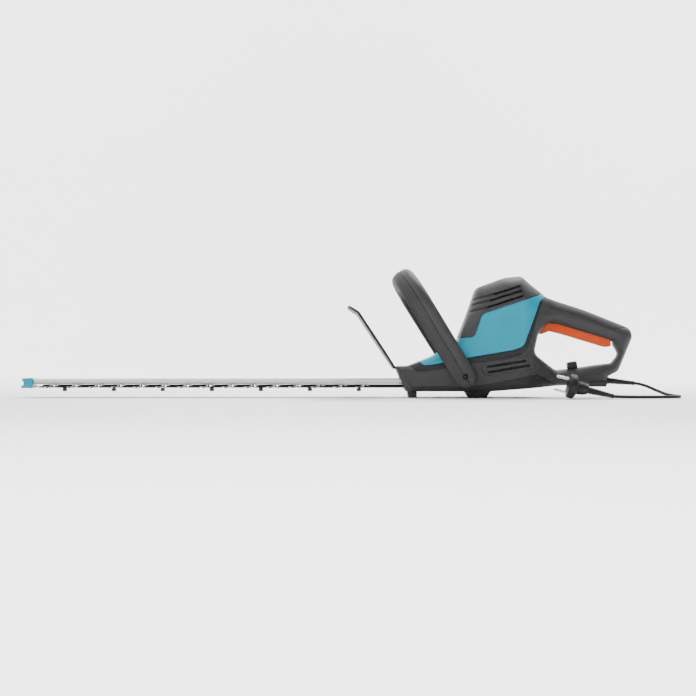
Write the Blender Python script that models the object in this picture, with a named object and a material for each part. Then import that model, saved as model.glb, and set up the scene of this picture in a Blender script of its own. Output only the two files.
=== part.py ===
"""Corded hedge trimmer with a double-sided reciprocating blade.

Sizes are in millimetres and MM turns them into metres. +X runs from the blade tip to the rear handle,
+Z is up and the object is symmetric about y = 0, apart from its case screws and its plug. The origin lies
on the surface that the feet stand on, below the middle of the object without its cord.
"""

import math

import bmesh
import bpy
import numpy as np
from mathutils import Matrix, Vector
from mathutils.geometry import delaunay_2d_cdt

MM = 0.001
GAP = 0.3  # between pieces that touch, and between a pin and its hole
ARC_DEGREES = 45.0  # turn between two points of an arc
BODY_STEP = 21.0  # mesh spacing on the moulded body
HOLLOW_STEP = 32.0  # the same inside it

# ---- Moulded body: corners (x, z, fillet radius) of its side view -----------------------------------
REAR_END_X = 455.3
DOME_TOP_Z = 178.2
UNDERSIDE_Z = 8.9
BODY = [
    (115.4, UNDERSIDE_Z, 3), (240, 9.2, 100), (341, 16.8, 60), (412, 19.5, 4), (415.8, 30.8, 2),
    (430.5, 38, 13), (REAR_END_X, 98.7, 15), (380, 128.8, 150), (323, 147, 16), (285.5, DOME_TOP_Z, 7),
    (262, 176.3, 60), (219.5, 161, 13), (192, 82, 12), (155, 60.5, 70), (118.6, 45.9, 20), (99.3, 45.9, 3),
]
GRIP_OPENING = [
    (309.5, 92, 14), (325.5, 109.3, 6), (420.5, 80.5, 3), (429.5, 63.5, 7), (420, 50.5, 8),
    (396.6, 47.6, 60), (338, 39.5, 14), (302.5, 64.5, 12),
]
# Regions that cut the body into its mouldings.
COLLAR_REGION = [(90, 55, 0), (90, 0, 0), (126.3, 0, 0), (126.3, 9.6, 0), (118.4, 25.2, 3), (104, 55, 0)]
COVER_REGION = [
    (126.6, 0, 0), (345, 0, 0), (338.9, 17.8, 2), (306, 34.6, 12), (245, 21, 60), (205, 16.4, 60),
    (123.6, 15.6, 0), (126.6, 9.6, 0),
]
HOOD_REGION = [
    (141, 47, 6), (160, 49.3, 60), (204, 58.3, 60), (272, 69.9, 30), (286, 75, 12), (311, 141, 6),
    (325, 151.5, 0), (331, 161, 0), (318, 166, 0), (313.2, 150.4, 2), (226, 121.5, 13), (215, 88.3, 9),
    (191, 86, 0), (180, 96, 0), (130, 70, 0), (136.3, 53, 4),
]
GRIP_REGION = [
    (325.5, 132.6, 4), (367, 121.4, 200), (423, 98.6, 7), (437, 102, 4), (458, 108, 0), (455, 130, 0),
    (330, 168, 0), (324.4, 147, 0),
]
HALF_WIDTHS = [(99, 32.0), (200, 37.5), (248, 41.0), (285, 40.0), (345, 17.5)]  # (x, half width)
EDGE_RADIUS = 9.0  # rounding of the body's long edges
DOME_RADIUS = 29.0  # the same at the dome over the motor
SKIN = 2.4  # hood and grip overlay
POCKET_GAP = 0.8  # below an overlay
WALL = 2.3  # housing wall

# ---- Vent slots: (front x, z) and (rear x, z) of each slot's middle line ------------------------------
DOME_VENTS = [((243, 150.6), (280.5, 162.4)), ((238.5, 141.8), (283, 155.7)), ((236, 132.2), (285, 148.2))]
SIDE_VENTS = [((234, 45.3), (288.5, 53.8)), ((235.5, 37.3), (293, 47.2))]
DOME_VENT_WIDTH = 3.0
SIDE_VENT_WIDTH = 3.7

# ---- Feet ----------------------------------------------------------------------------------------------
MID_FOOT = [(203, 10.5, 0), (203, 8.9, 0), (209, 0, 1), (233.6, 0, 1), (239.6, 8.9, 0), (239.6, 10.5, 0)]
MID_FOOT_HALF_WIDTH = 26.0
FRONT_FOOT = [
    (118, 10.2, 0), (119.8, 0, 1), (131.8, 0, 1), (132.6, 8.4, 0), (124.6, 8.4, 0),
    (124.6, 10.2, 0),
]
FRONT_FOOT_HALF_WIDTH = 20.0
REAR_FOOT = [(384, 24, 0), (386.5, 15.4, 2), (411.5, 15.4, 2), (413.5, 24, 0)]
REAR_FOOT_HALF_WIDTH = 12.0

# ---- Blades, guide bar and their bolts -----------------------------------------------------------------
TIP_X = -450.0
BAR_TIP_X = -432.2
BAR_TAIL_X = 185.0
BAR_HALF_WIDTH = 11.0
BAR_Z = (21.4, 27.7)
STRIP_HALF_WIDTH = 15.0
STRIP_Z = (18.7, 21.1)
UPPER_BLADE_Z = (16.4, 18.4)
LOWER_BLADE_Z = (14.0, 16.1)
BLADE_TIP_X = -424.0
BLADE_HALF_WIDTH = 13.0
TOOTH_PITCH = 32.56
TOOTH_COUNT = 15
FIRST_TOOTH_X = -403.8
TOOTH_REACH = 30.0  # tip of a tooth from the middle line
TOOTH_ROOT = 8.0  # half width of a tooth at its root
TOOTH_TIP = 3.2
BLADE_TRAVEL = 8.0  # each way
BLADE_REST_SHIFT = 4.0  # how far the blades stand from mid stroke
BOLT_PITCH = 72.5
BOLT_COUNT = 7
FIRST_BOLT_X = -387.8
BOLT_RADIUS = 2.5
BOLT_SLOT_GAP = 0.5
BOLT_HEAD_RADIUS = 3.3
BOLT_HEAD_LOW_Z = 8.7

# ---- Tip guard -----------------------------------------------------------------------------------------
TIP_GUARD = [
    (TIP_X, 13.6, 1), (-432.5, 13.6, 1), (-432.5, 28.1, 1), (-447, 28.1, 1), (-448, 25.5, 0), (-445, 22, 2),
    (-445, 18.5, 2), (TIP_X, 15.5, 0),
]
TIP_GUARD_HALF_WIDTH = 17.5
TIP_SCREW_X = -440.0
TIP_SCREW_RADIUS = 2.0
TIP_SCREW_HEAD = 3.6
TIP_SCREW_Z = (14.5, 26.3, 27.9)  # lower end, seat of the head, top

# ---- Hand guard: middle line (x, z) from the collar to the curled lip ----------------------------------
GUARD_LINE = [(99.2, 42.6, 0), (45.6, 123.6, 7), (31.2, 132.8, 0)]
GUARD_THICKNESS = 3.2
GUARD_FOOT_HALF_WIDTH = 44.0
GUARD_HALF_WIDTH = 76.0
GUARD_CORNER = 26.0

# ---- Front loop handle ---------------------------------------------------------------------------------
PIVOT = (200.5, 31.1)
LOOP_TOP = (113.5, 172.3)  # middle of the crossbar
LOOP_DEPTH = 16.2  # half depth of the band in side view
LEG_Y = 46.2  # middle of a leg at the pivot
LEG_THICKNESS = 13.0
CROSSBAR_Y = 69.0  # where the legs' lines meet the crossbar's
CROSSBAR_THICKNESS = 29.0
LOOP_CORNER = 42.0
FLARE_START = 28.0  # distance from the pivot at which a leg starts to flare
SWITCH_BAR_HALF_LENGTH = 42.0
SWITCH_BAR_DEPTH = 8.5
SWITCH_BAR_PROUD = 7.0
SWITCH_BAR_TRAVEL = 5.0
PIVOT_SCREW_RADIUS = 2.2
PIVOT_HEAD_RADIUS = 3.4
PIVOT_BOSS_RADIUS = 12.0
PAD_DEPTH = 33.0  # inner end of the post that a leg bears on
SCREW_DEPTH = 30.5  # inner end of a pivot screw's hole

# ---- Trigger -------------------------------------------------------------------------------------------
TRIGGER = [
    (311.5, 90.8, 2.5), (328.6, 97.2, 8), (345, 93.2, 60), (410.5, 73.6, 6), (419.2, 75.2, 3),
    (416.5, 97.5, 4), (400, 97, 4), (330, 111, 3), (321.5, 111, 3),
]
TRIGGER_SLOT = [
    (308, 84, 0), (325, 92, 0), (406, 68, 0), (422.5, 66, 0), (422.5, 101.5, 3), (404, 103.5, 4),
    (331, 128, 3),
    (317, 126.5, 3), (308, 108, 3),
]
TRIGGER_HALF_WIDTH = 9.5
TRIGGER_PIVOT = (408.0, 91.5)
SPRING_PLACE = (381.0, 102.0, 118.0)  # x, lower end, upper end
SPRING_COIL = (3.6, 0.6, 4)  # radius, wire radius, turns
TRIGGER_PIN_RADIUS = 1.5
PIN_HALF = 12.2  # half length of the trigger's pin
SWITCH_BODY = ((333, -7, 116.6), (357, 7, 122.5))
CAPACITOR_X = 322.0
CAPACITOR_RADIUS = 6.5
CAPACITOR_Z = (22.5, 36.5)
CABLE_HOOK = [(355.2, 41.9, 0), (370.2, 44.0, 0), (368.5, 53.3, 1.5), (354.8, 51.1, 1.5)]
CABLE_HOOK_HALF_WIDTH = 6.0

# ---- Motor and drive, on vertical axes -----------------------------------------------------------------
MOTOR_X = 262.0
GEAR_MODULE = 1.8
GEAR_TEETH = 36
PINION_TEETH = 9
GEAR_X = MOTOR_X - GEAR_MODULE * (GEAR_TEETH + PINION_TEETH) / 2
GEAR_Z = (41.5, 49.5)
GEAR_SHAFT_Z = (19.0, 54.0)
GEAR_BEARING_RADIUS = 9.5
GEAR_BEARING_TOP_Z = 38.0
ROTOR_Z = (40.2, 167.0)
GEAR_SHAFT_RADIUS = 5.0
CAM_RADIUS = 7.0
CAM_THROW = 8.0
PLATE_Z = (28.0, 33.0)
ROTOR_SHAFT_RADIUS = 4.0
STATOR_RADIUS = 33.0
STATOR_BORE = 20.0
STATOR_Z = (76.0, 136.0)
CORE_RADIUS = 18.5
FAN_RADIUS = 29.0
FAN_Z = (54.0, 63.0)
FAN_BLADES = 9
COMMUTATOR_RADIUS = 11.0
COMMUTATOR_Z = (140.0, 152.0)

# ---- Case screws (x, z) on the far side ------------------------------------------------------------------
CASE_SCREWS = [(141, 40), (304.5, 49), (395, 33), (437.5, 79), (313.5, 131.5), (234.5, 154)]
CASE_SCREW_RADIUS = 1.8
CASE_SCREW_HEAD = 3.2
BOSS_RADIUS = 4.6
SCREW_REACH = 7.0  # how far a case screw goes into the near half

# ---- Cord, strain relief and plug ------------------------------------------------------------------------
CORD_DIAMETER = 4.6
CORD_HOLE_RADIUS = 5.6
CORD_HOLE_X = (398, 425)
SLEEVE_START = (414.2, 0, 24.4)
SLEEVE_END = (455.0, 0, 20.4)
CORD_ROUTE = [
    (455.3, 0, 20.37), (462, 0, 19.4), (470, -0.2, 17.2), (478, -1.0, 14.0), (486, -2.8, 10.3),
    (494, -6.2, 6.8),
    (501, -11.2, 4.2), (507, -18, 2.9), (511, -26.5, 2.5), (512.5, -36, 2.5), (511, -45.5, 2.5),
    (506.5, -54, 2.5), (499.5, -61, 2.5), (490, -66, 2.5), (479, -69, 2.5), (466, -70.6, 2.5),
    (452, -71.3, 2.5), (438, -71.6, 2.6), (424, -71.8, 2.9), (411, -71.9, 3.4),
]
PLUG_TILT = 13.3  # degrees: the plug lies on its flange and on the end of its relief
PLUG_RELIEF = 40.0
PLUG_BODY = 16.0
PLUG_FLANGE_RADIUS = 17.3
PLUG_FLANGE = 11.0
PIN_LENGTH = 19.0
PIN_SPACING = 19.0
PIN_RADIUS = 2.0

PALETTE = {  # name: (colour, roughness, metallic)
    "graphite": ((0.045, 0.046, 0.048), 0.5, 0.0),
    "turquoise": ((0.012, 0.30, 0.38), 0.3, 0.0),
    "orange": ((0.62, 0.16, 0.02), 0.4, 0.0),
    "soft_grip": ((0.03, 0.03, 0.032), 0.8, 0.0),
    "black": ((0.012, 0.012, 0.012), 0.55, 0.0),
    "steel": ((0.60, 0.60, 0.60), 0.28, 1.0),
    "aluminium": ((0.70, 0.71, 0.72), 0.4, 1.0),
    "copper": ((0.72, 0.32, 0.18), 0.35, 1.0),
    "brass": ((0.75, 0.55, 0.25), 0.3, 1.0),
    "nickel": ((0.72, 0.68, 0.62), 0.25, 1.0),
}


# ---- Flat outlines -----------------------------------------------------------------------------------------


def offset_corners(corners, distance):
    """The outline moved by a distance to its left, with its fillets still round the same centres."""
    count = len(corners)
    moved = []
    for i, (x, z, radius) in enumerate(corners):
        here = Vector((x, z))
        into = (here - Vector(corners[i - 1][:2])).normalized()
        out = (Vector(corners[(i + 1) % count][:2]) - here).normalized()
        left_in = Vector((-into.y, into.x))
        left_out = Vector((-out.y, out.x))
        share = 1 + left_in.dot(left_out)
        point = here + (left_in + left_out) * distance / share
        turn = into.x * out.y - into.y * out.x
        radius = max(0, radius - distance * (1 if turn > 0 else -1)) if radius else 0
        moved.append((point.x, point.y, radius))
    return moved


def outline(corners, step=1000.0):
    """Points of a closed outline: straight runs, split into steps, joined by the corners' fillets."""
    points = []
    count = len(corners)
    for i, (x, z, radius) in enumerate(corners):
        here = Vector((x, z))
        before = Vector(corners[i - 1][:2]) - here
        after = Vector(corners[(i + 1) % count][:2]) - here
        half = before.angle(after) / 2
        reach = min(radius / math.tan(half), 0.48 * before.length, 0.48 * after.length)
        if reach < 0.05 or math.degrees(math.pi - 2 * half) < 1:
            points.append((x, z))
            continue
        radius = reach * math.tan(half)
        centre = here + (before.normalized() + after.normalized()).normalized() * radius / math.sin(half)
        spoke = here + before.normalized() * reach - centre
        sweep = math.copysign(math.pi - 2 * half, before.x * after.y - before.y * after.x)
        pieces = max(1, math.ceil(math.degrees(abs(sweep)) / ARC_DEGREES))
        for k in range(pieces + 1):
            points.append(tuple(centre + Matrix.Rotation(-sweep * k / pieces, 2) @ spoke))
    divided = []
    for a, b in zip(points, points[1:] + points[:1]):
        pieces = max(1, math.ceil(math.dist(a, b) / step))
        for k in range(pieces):
            divided.append((a[0] + (b[0] - a[0]) * k / pieces, a[1] + (b[1] - a[1]) * k / pieces))
    return divided


def circle(centre, radius, sides=16):
    turns = [2 * math.pi * k / sides for k in range(sides)]
    return [(centre[0] + radius * math.cos(t), centre[1] + radius * math.sin(t)) for t in turns]


def stadium(start, end, radius, sides=2):
    """Outline of a slot with round ends."""
    along = math.atan2(end[1] - start[1], end[0] - start[0])
    points = []
    for centre, first in ((end, along - math.pi / 2), (start, along + math.pi / 2)):
        for k in range(sides + 1):
            t = first + math.pi * k / sides
            points.append((centre[0] + radius * math.cos(t), centre[1] + radius * math.sin(t)))
    return points


def distances(points, loops):
    """Distance from each point to the nearest side of the loops."""
    points = np.asarray(points, float)
    nearest = np.full(len(points), np.inf)
    for loop in loops:
        start = np.array(loop)
        side = np.roll(start, -1, axis=0) - start
        to_point = points[:, None] - start[None]
        share = (to_point * side).sum(axis=2) / np.maximum((side * side).sum(axis=1), 1e-9)
        foot = to_point - np.clip(share, 0, 1)[..., None] * side
        nearest = np.minimum(nearest, np.sqrt((foot * foot).sum(axis=2)).min(axis=1))
    return nearest


def inside(points, loops):
    """Whether each point is inside the loops, by the even-odd rule."""
    points = np.asarray(points, float)
    crossings = np.zeros(len(points), int)
    for loop in loops:
        start = np.array(loop)
        end = np.roll(start, -1, axis=0)
        low, high = start[:, 1] > points[:, None, 1], end[:, 1] > points[:, None, 1]
        rise = np.where(end[:, 1] == start[:, 1], 1e-12, end[:, 1] - start[:, 1])
        across = start[:, 0] + (points[:, None, 1] - start[:, 1]) * (end[:, 0] - start[:, 0]) / rise
        crossings += ((low != high) & (points[:, None, 0] < across)).sum(axis=1)
    return crossings % 2 == 1


def triangulate(loops, extra=()):
    """(points, triangles) of the area inside the loops; each loop's own points come first, in order."""
    points = [p for loop in loops for p in loop]
    edges = []
    first = 0
    for loop in loops:
        edges += [(first + k, first + (k + 1) % len(loop)) for k in range(len(loop))]
        first += len(loop)
    points += list(extra)
    found, _, faces, origins, _, _ = delaunay_2d_cdt([Vector(p) for p in points], edges, [], 1, 1e-7)
    if len(found) != len(points):
        raise ValueError("an outline crosses or touches itself")
    index = [group[0] for group in origins]
    triangles = np.array([[index[v] for v in face] for face in faces])
    middles = np.array(points)[triangles].mean(axis=1)
    return points, triangles[inside(middles, loops)].tolist()


# ---- Solids ----------------------------------------------------------------------------------------------


def add_object(name, vertices, faces):
    """An object from points in millimetres, with its faces turned outwards."""
    mesh = bpy.data.meshes.new(name)
    mesh.from_pydata([tuple(c * MM for c in v) for v in vertices], [], faces)
    bm = bmesh.new()
    bm.from_mesh(mesh)
    bmesh.ops.recalc_face_normals(bm, faces=bm.faces)
    bm.to_mesh(mesh)
    bm.free()
    obj = bpy.data.objects.new(name, mesh)
    bpy.context.collection.objects.link(obj)
    return obj


def closed_between(loops, points, triangles, low, high):
    """Vertices and faces of the solid between two layers of one flat triangulation."""
    count = len(points)
    faces = [tuple(count + v for v in face) for face in triangles]
    faces += [tuple(reversed(face)) for face in triangles]
    first = 0
    for loop in loops:
        for k in range(len(loop)):
            a, b = first + k, first + (k + 1) % len(loop)
            faces.append((a, b, count + b, count + a))
        first += len(loop)
    return low + high, faces


def plate(name, loops, low, high, plane="XY"):
    """A flat solid: loops (the outer one and any holes) between two levels along the plane's normal."""
    points, triangles = triangulate(loops)
    if plane == "XY":
        layers = [[(x, y, level) for x, y in points] for level in (low, high)]
    else:
        layers = [[(x, level, z) for x, z in points] for level in (low, high)]
    return add_object(name, *closed_between(loops, points, triangles, *layers))


def side_plate(name, corners, low, high):
    return plate(name, [outline(corners)], low, high, "XZ")


def smooth_step(low, high, value):
    t = np.clip((value - low) / (high - low), 0, 1)
    return t * t * (3 - 2 * t)


def half_width(x):
    """Half width of the body at x, eased from one station to the next."""
    width = np.full(len(x), HALF_WIDTHS[0][1])
    for (x0, w0), (x1, w1) in zip(HALF_WIDTHS, HALF_WIDTHS[1:]):
        width += (w1 - w0) * smooth_step(x0, x1, x)
    return width


def edge_radius(x, z):
    dome = smooth_step(75, 135, z) * (1 - smooth_step(295, 330, x))
    handle = smooth_step(305, 345, x)
    return EDGE_RADIUS + (DOME_RADIUS - EDGE_RADIUS) * dome + (HALF_WIDTHS[-1][1] - EDGE_RADIUS) * handle


def body_solid(name, inset, spacing=BODY_STEP, ring_shares=(0.2, 0.7)):
    """The body with its grip opening, at a depth below its outer surface. Its edges are rounded by their
    distance from the outline."""
    loops = [outline(offset_corners(corners, inset), spacing) for corners in (BODY, GRIP_OPENING)]
    rings = []
    for loop in loops:
        ring = np.array(loop)
        along = np.roll(ring, -1, axis=0) - np.roll(ring, 1, axis=0)
        left = np.stack([-along[:, 1], along[:, 0]], axis=1) / np.linalg.norm(along, axis=1)[:, None]
        for share in ring_shares:
            depth = share * np.maximum(edge_radius(ring[:, 0], ring[:, 1]) - inset, 3)
            moved = ring + left * depth[:, None]
            rings.append(moved[distances(moved, loops) > 0.93 * depth])
    low, high = np.array(loops[0]).min(axis=0), np.array(loops[0]).max(axis=0)
    grid = np.array([
        (x + (row % 2) * spacing / 2, z)
        for row, z in enumerate(np.arange(low[1], high[1], spacing * 0.87))
        for x in np.arange(low[0], high[0], spacing)
    ])
    grid = grid[distances(grid, loops) > spacing * 0.5]
    extra = np.concatenate(rings)
    extra = extra[inside(extra, loops)]
    kept = []
    for point in np.concatenate([extra, grid[inside(grid, loops)]]):
        if not kept or min(math.dist(point, other) for other in kept) > BODY_STEP * 0.25:
            kept.append(tuple(point))
    points, triangles = triangulate(loops, kept)
    x, z = np.array(points).T
    depth = distances(points, loops)
    depth[: sum(map(len, loops))] = 0
    width = half_width(x) - inset
    radius = np.clip(edge_radius(x, z) - inset, 1.0, width - 0.7)
    rise = np.sqrt(np.maximum(radius**2 - np.maximum(radius - depth, 0) ** 2, 0))
    y = width - radius + rise
    layers = [[(px, side * py, pz) for px, py, pz in zip(x, y, z)] for side in (-1, 1)]
    return add_object(name, *closed_between(loops, points, triangles, *layers))


def turned(name, profile, sides=20, centre=(0, 0)):
    """A solid turned about a vertical axis: profile points (radius, z), from the axis back to the axis or
    round a closed ring."""
    vertices, rows = [], []
    for radius, z in profile:
        row = [len(vertices) + (k if radius else 0) for k in range(sides)]
        rows.append(row)
        for px, py in circle(centre, radius, sides) if radius else [centre]:
            vertices.append((px, py, z))
    pairs = list(zip(rows, rows[1:])) + ([] if profile[0][0] == 0 else [(rows[-1], rows[0])])
    faces = []
    for row, after in pairs:
        for k in range(sides):
            corners = (row[k - 1], row[k], after[k], after[k - 1])
            face = tuple(dict.fromkeys(corners))
            if len(face) > 2:
                faces.append(face)
    return add_object(name, vertices, faces)


def cylinder(name, radius, low, high, sides=16, centre=(0, 0)):
    return turned(name, [(0, low), (radius, low), (radius, high), (0, high)], sides, centre)


def pin_along_y(name, radius, low, high, centre, sides=16):
    return plate(name, [circle(centre, radius, sides)], low, high, "XZ")


def box(name, low, high):
    corners = [(low[0], low[1]), (high[0], low[1]), (high[0], high[1]), (low[0], high[1])]
    return plate(name, [corners], low[2], high[2])


def swept(name, stations):
    """A closed solid through rings of equally many points."""
    count = len(stations[0])
    vertices = [p for ring in stations for p in ring]
    faces = [tuple(range(count)), tuple(range(len(vertices) - count, len(vertices)))]
    for s in range(len(stations) - 1):
        for k in range(count):
            a, b = s * count + k, s * count + (k + 1) % count
            faces.append((a, b, b + count, a + count))
    return add_object(name, vertices, faces)


def carve(obj, tool, operation="DIFFERENCE"):
    """Cuts, joins or intersects an object with a tool, and takes the tool away."""
    modifier = obj.modifiers.new(operation, "BOOLEAN")
    modifier.operation = operation
    modifier.solver = "MANIFOLD"
    modifier.object = tool
    graph = bpy.context.evaluated_depsgraph_get()
    mesh = bpy.data.meshes.new_from_object(obj.evaluated_get(graph))
    obj.modifiers.clear()
    obj.data = mesh
    bpy.data.objects.remove(tool)
    return obj


def copy_of(obj, name):
    other = bpy.data.objects.new(name, obj.data.copy())
    bpy.context.collection.objects.link(other)
    return other


def material_of(name):
    material = bpy.data.materials.get(name)
    if material is None:
        colour, roughness, metallic = PALETTE[name]
        material = bpy.data.materials.new(name)
        material.use_nodes = True
        shader = material.node_tree.nodes["Principled BSDF"]
        shader.inputs["Base Color"].default_value = (*colour, 1)
        shader.inputs["Roughness"].default_value = roughness
        shader.inputs["Metallic"].default_value = metallic
        material.diffuse_color = (*colour, 1)
    return material


def finish(obj, material, smooth=True):
    obj.data.materials.clear()
    obj.data.materials.append(material_of(material))
    if smooth:
        obj.data.shade_smooth()
        obj.data.set_sharp_from_angle(angle=math.radians(32))
    return obj


def set_origin(obj, point):
    """Moves an object's origin to a point in millimetres, and leaves its shape where it is."""
    place = Vector(point) * MM
    obj.data.transform(Matrix.Translation(-place))
    obj.location = place


# ---- Housing and its overlays -----------------------------------------------------------------------------

FAR = 70.0  # beyond the body on either side


def region(corners, grow=0.0):
    """A region of the side view, through the whole width of the body. Regions run anticlockwise."""
    return side_plate("region", offset_corners(corners, -grow), -FAR, FAR)


def overlay(name, corners):
    """The body's outer layer inside a region, one piece over both sides."""
    piece = carve(body_solid(name, 0), region(corners), "INTERSECT")
    return carve(piece, body_solid("inner", SKIN))


def pocket(corners):
    """What has to come off the housing for an overlay."""
    return carve(region(corners, GAP), body_solid("floor", SKIN + POCKET_GAP))


def surface_y(x, z):
    """Half width of the body's outer surface at one place of its side view."""
    loops = [outline(BODY, BODY_STEP), outline(GRIP_OPENING, BODY_STEP)]
    depth = float(distances([(x, z)], loops)[0])
    width = float(half_width(np.array([x]))[0])
    radius = min(float(edge_radius(x, z)), width - 0.7)
    return width - radius + math.sqrt(radius**2 - max(radius - depth, 0) ** 2)


def screw_y(x, z):
    """How far out a case screw's head reaches."""
    return min(surface_y(*rim) for rim in circle((x, z), BOSS_RADIUS, 8)) - 1.6


def add_bosses(shell, side):
    """Screw posts from the split to the wall, and the post that the front handle's leg bears on."""
    for x, z in CASE_SCREWS:
        reach = screw_y(x, z) - 1.0
        ends = sorted((side * GAP / 2, side * reach))
        carve(shell, pin_along_y("post", BOSS_RADIUS, *ends, (x, z), 8), "UNION")
    leg_face = LEG_Y - LEG_THICKNESS / 2 - GAP
    ends = sorted((side * PAD_DEPTH, side * leg_face))
    carve(shell, pin_along_y("pad", PIVOT_BOSS_RADIUS, *ends, PIVOT, 20), "UNION")


def drill(shell, side):
    """Screw holes: through and counterbored on the far half, blind on the near one."""
    for x, z in CASE_SCREWS:
        deep = sorted((side * -1.0, side * (screw_y(x, z) - 3.0)))
        if side < 0:
            deep = [-SCREW_REACH - 1.0, 1.0]
        carve(shell, pin_along_y("hole", CASE_SCREW_RADIUS + GAP, *deep, (x, z), 6))
        if side > 0:
            head = (screw_y(x, z) - 3.3, FAR)
            carve(shell, pin_along_y("counterbore", CASE_SCREW_HEAD + GAP, *head, (x, z), 8))
    ends = sorted((side * SCREW_DEPTH, side * FAR))
    carve(shell, pin_along_y("pivot_hole", PIVOT_SCREW_RADIUS + GAP, *ends, PIVOT, 12))


def cut_vents(shell, side):
    for vents, width in ((DOME_VENTS, DOME_VENT_WIDTH), (SIDE_VENTS, SIDE_VENT_WIDTH)):
        for start, end in vents:
            ends = sorted((side * 20.0, side * FAR))
            carve(shell, plate("vent", [stadium(start, end, width / 2)], *ends, "XZ"))


def make_housing():
    """The two half shells, which hold the motor, the drive and the rear handle's switch."""
    whole = body_solid("housing", 0)
    carve(whole, side_plate("foot", REAR_FOOT, -REAR_FOOT_HALF_WIDTH, REAR_FOOT_HALF_WIDTH), "UNION")
    for corners in (COLLAR_REGION, COVER_REGION):
        carve(whole, region(corners, GAP))
    for corners in (HOOD_REGION, GRIP_REGION):
        carve(whole, pocket(corners))
    deep = body_solid("deep_hollow", SKIN + POCKET_GAP + WALL - 0.5, HOLLOW_STEP, (0.3,))
    hollow = body_solid("hollow", WALL, HOLLOW_STEP, (0.3,))
    for corners in (HOOD_REGION, GRIP_REGION):
        carve(hollow, region(corners, WALL + GAP))
    carve(whole, deep)
    carve(whole, hollow)
    halves = []
    for name, side in (("left_housing", -1), ("right_housing", 1)):
        ends = sorted((side * GAP / 2, side * FAR))
        shell = carve(copy_of(whole, name), box("half", (50, ends[0], -20), (500, ends[1], 220)), "INTERSECT")
        add_bosses(shell, side)
        drill(shell, side)
        cut_vents(shell, side)
        slot_half = TRIGGER_HALF_WIDTH + GAP
        carve(shell, side_plate("trigger_slot", TRIGGER_SLOT, -slot_half, slot_half))
        pin_ends = (-PIN_HALF - 0.6, PIN_HALF + 0.6)
        carve(shell, pin_along_y("pin_hole", TRIGGER_PIN_RADIUS + GAP, *pin_ends, TRIGGER_PIVOT, 12))
        carve(shell, cord_hole())
        halves.append(finish(shell, "graphite"))
    bpy.data.objects.remove(whole)
    return halves


def cord_hole():
    """The hole in the rear foot block that the strain relief leaves by."""
    z = SLEEVE_START[2]
    hole = plate("cord_hole", [circle((0, z), CORD_HOLE_RADIUS, 14)], *CORD_HOLE_X, "XZ")
    hole.data.transform(Matrix.Rotation(-math.pi / 2, 4, "Z"))
    return hole


def make_hood():
    return finish(overlay("motor_hood", HOOD_REGION), "turquoise")


def make_rear_grip():
    return finish(overlay("rear_grip", GRIP_REGION), "soft_grip")


def make_bottom_cover():
    """The tray that closes the underside, with the foot that the tool stands on."""
    cover = carve(body_solid("bottom_cover", 0), region(COVER_REGION), "INTERSECT")
    carve(cover, body_solid("hollow", WALL, HOLLOW_STEP, (0.3,)))
    foot = side_plate("foot", MID_FOOT, -MID_FOOT_HALF_WIDTH, MID_FOOT_HALF_WIDTH)
    carve(cover, foot, "UNION")
    return finish(cover, "black")


def make_guard_collar():
    """The moulded collar round the blade's root, with the front foot."""
    collar = carve(body_solid("guard_collar", 0), region(COLLAR_REGION), "INTERSECT")
    foot = side_plate("foot", FRONT_FOOT, -FRONT_FOOT_HALF_WIDTH, FRONT_FOOT_HALF_WIDTH)
    carve(collar, foot, "UNION")
    low = (80, -STRIP_HALF_WIDTH - 2, LOWER_BLADE_Z[0] - 1.5)
    high = (140, STRIP_HALF_WIDTH + 2, BAR_Z[1] + 1.5)
    carve(collar, box("mouth", low, high))
    return finish(collar, "graphite")


# ---- Hand guard -------------------------------------------------------------------------------------------


def line_points(corners, step):
    """An open line through corners with fillets, from its first point to its last."""
    closed = outline(corners + [(corners[-1][0] + 500, corners[-1][1] + 900, 0)], step)
    ends = [math.dist(point, corners[-1][:2]) for point in closed]
    return closed[: ends.index(min(ends)) + 1]


def make_hand_guard():
    """A plate across the blade's root that leans forward and ends in a curled lip."""
    line = line_points(GUARD_LINE, 9.0)
    lengths = [0.0]
    for a, b in zip(line, line[1:]):
        lengths.append(lengths[-1] + math.dist(a, b))
    stations = []
    for k, (x, z) in enumerate(line):
        before, after = line[max(k - 1, 0)], line[min(k + 1, len(line) - 1)]
        along = Vector((after[0] - before[0], after[1] - before[1])).normalized()
        normal = Vector((along.y, -along.x)) * GUARD_THICKNESS / 2
        spread = min(1.0, lengths[k] / 38.0)
        widening = GUARD_HALF_WIDTH - GUARD_FOOT_HALF_WIDTH
        half = GUARD_FOOT_HALF_WIDTH + widening * math.sin(spread * math.pi / 2)
        past = max(0.0, lengths[k] - (lengths[-1] - GUARD_CORNER))
        half -= GUARD_CORNER - math.sqrt(GUARD_CORNER**2 - min(past, GUARD_CORNER * 0.995) ** 2)
        front, back = (x + normal.x, z + normal.y), (x - normal.x, z - normal.y)
        stations.append([
            (front[0], -half, front[1]), (front[0], half, front[1]),
            (back[0], half, back[1]), (back[0], -half, back[1]),
        ])
    return finish(swept("hand_guard", stations), "black")


# ---- Front loop handle ------------------------------------------------------------------------------------

LOOP_UP = (Vector((LOOP_TOP[0], 0, LOOP_TOP[1])) - Vector((PIVOT[0], 0, PIVOT[1]))).normalized()
LOOP_NORMAL = Vector((LOOP_UP.z, 0, -LOOP_UP.x))  # out of the loop's plane, towards the rear
LOOP_HEIGHT = math.dist(PIVOT, LOOP_TOP)


def loop_point(y, up, out):
    """A point by its place in the loop's plane: across, up from the pivot, and out of the plane."""
    return tuple(Vector((PIVOT[0], y, PIVOT[1])) + LOOP_UP * up + LOOP_NORMAL * out)


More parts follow.
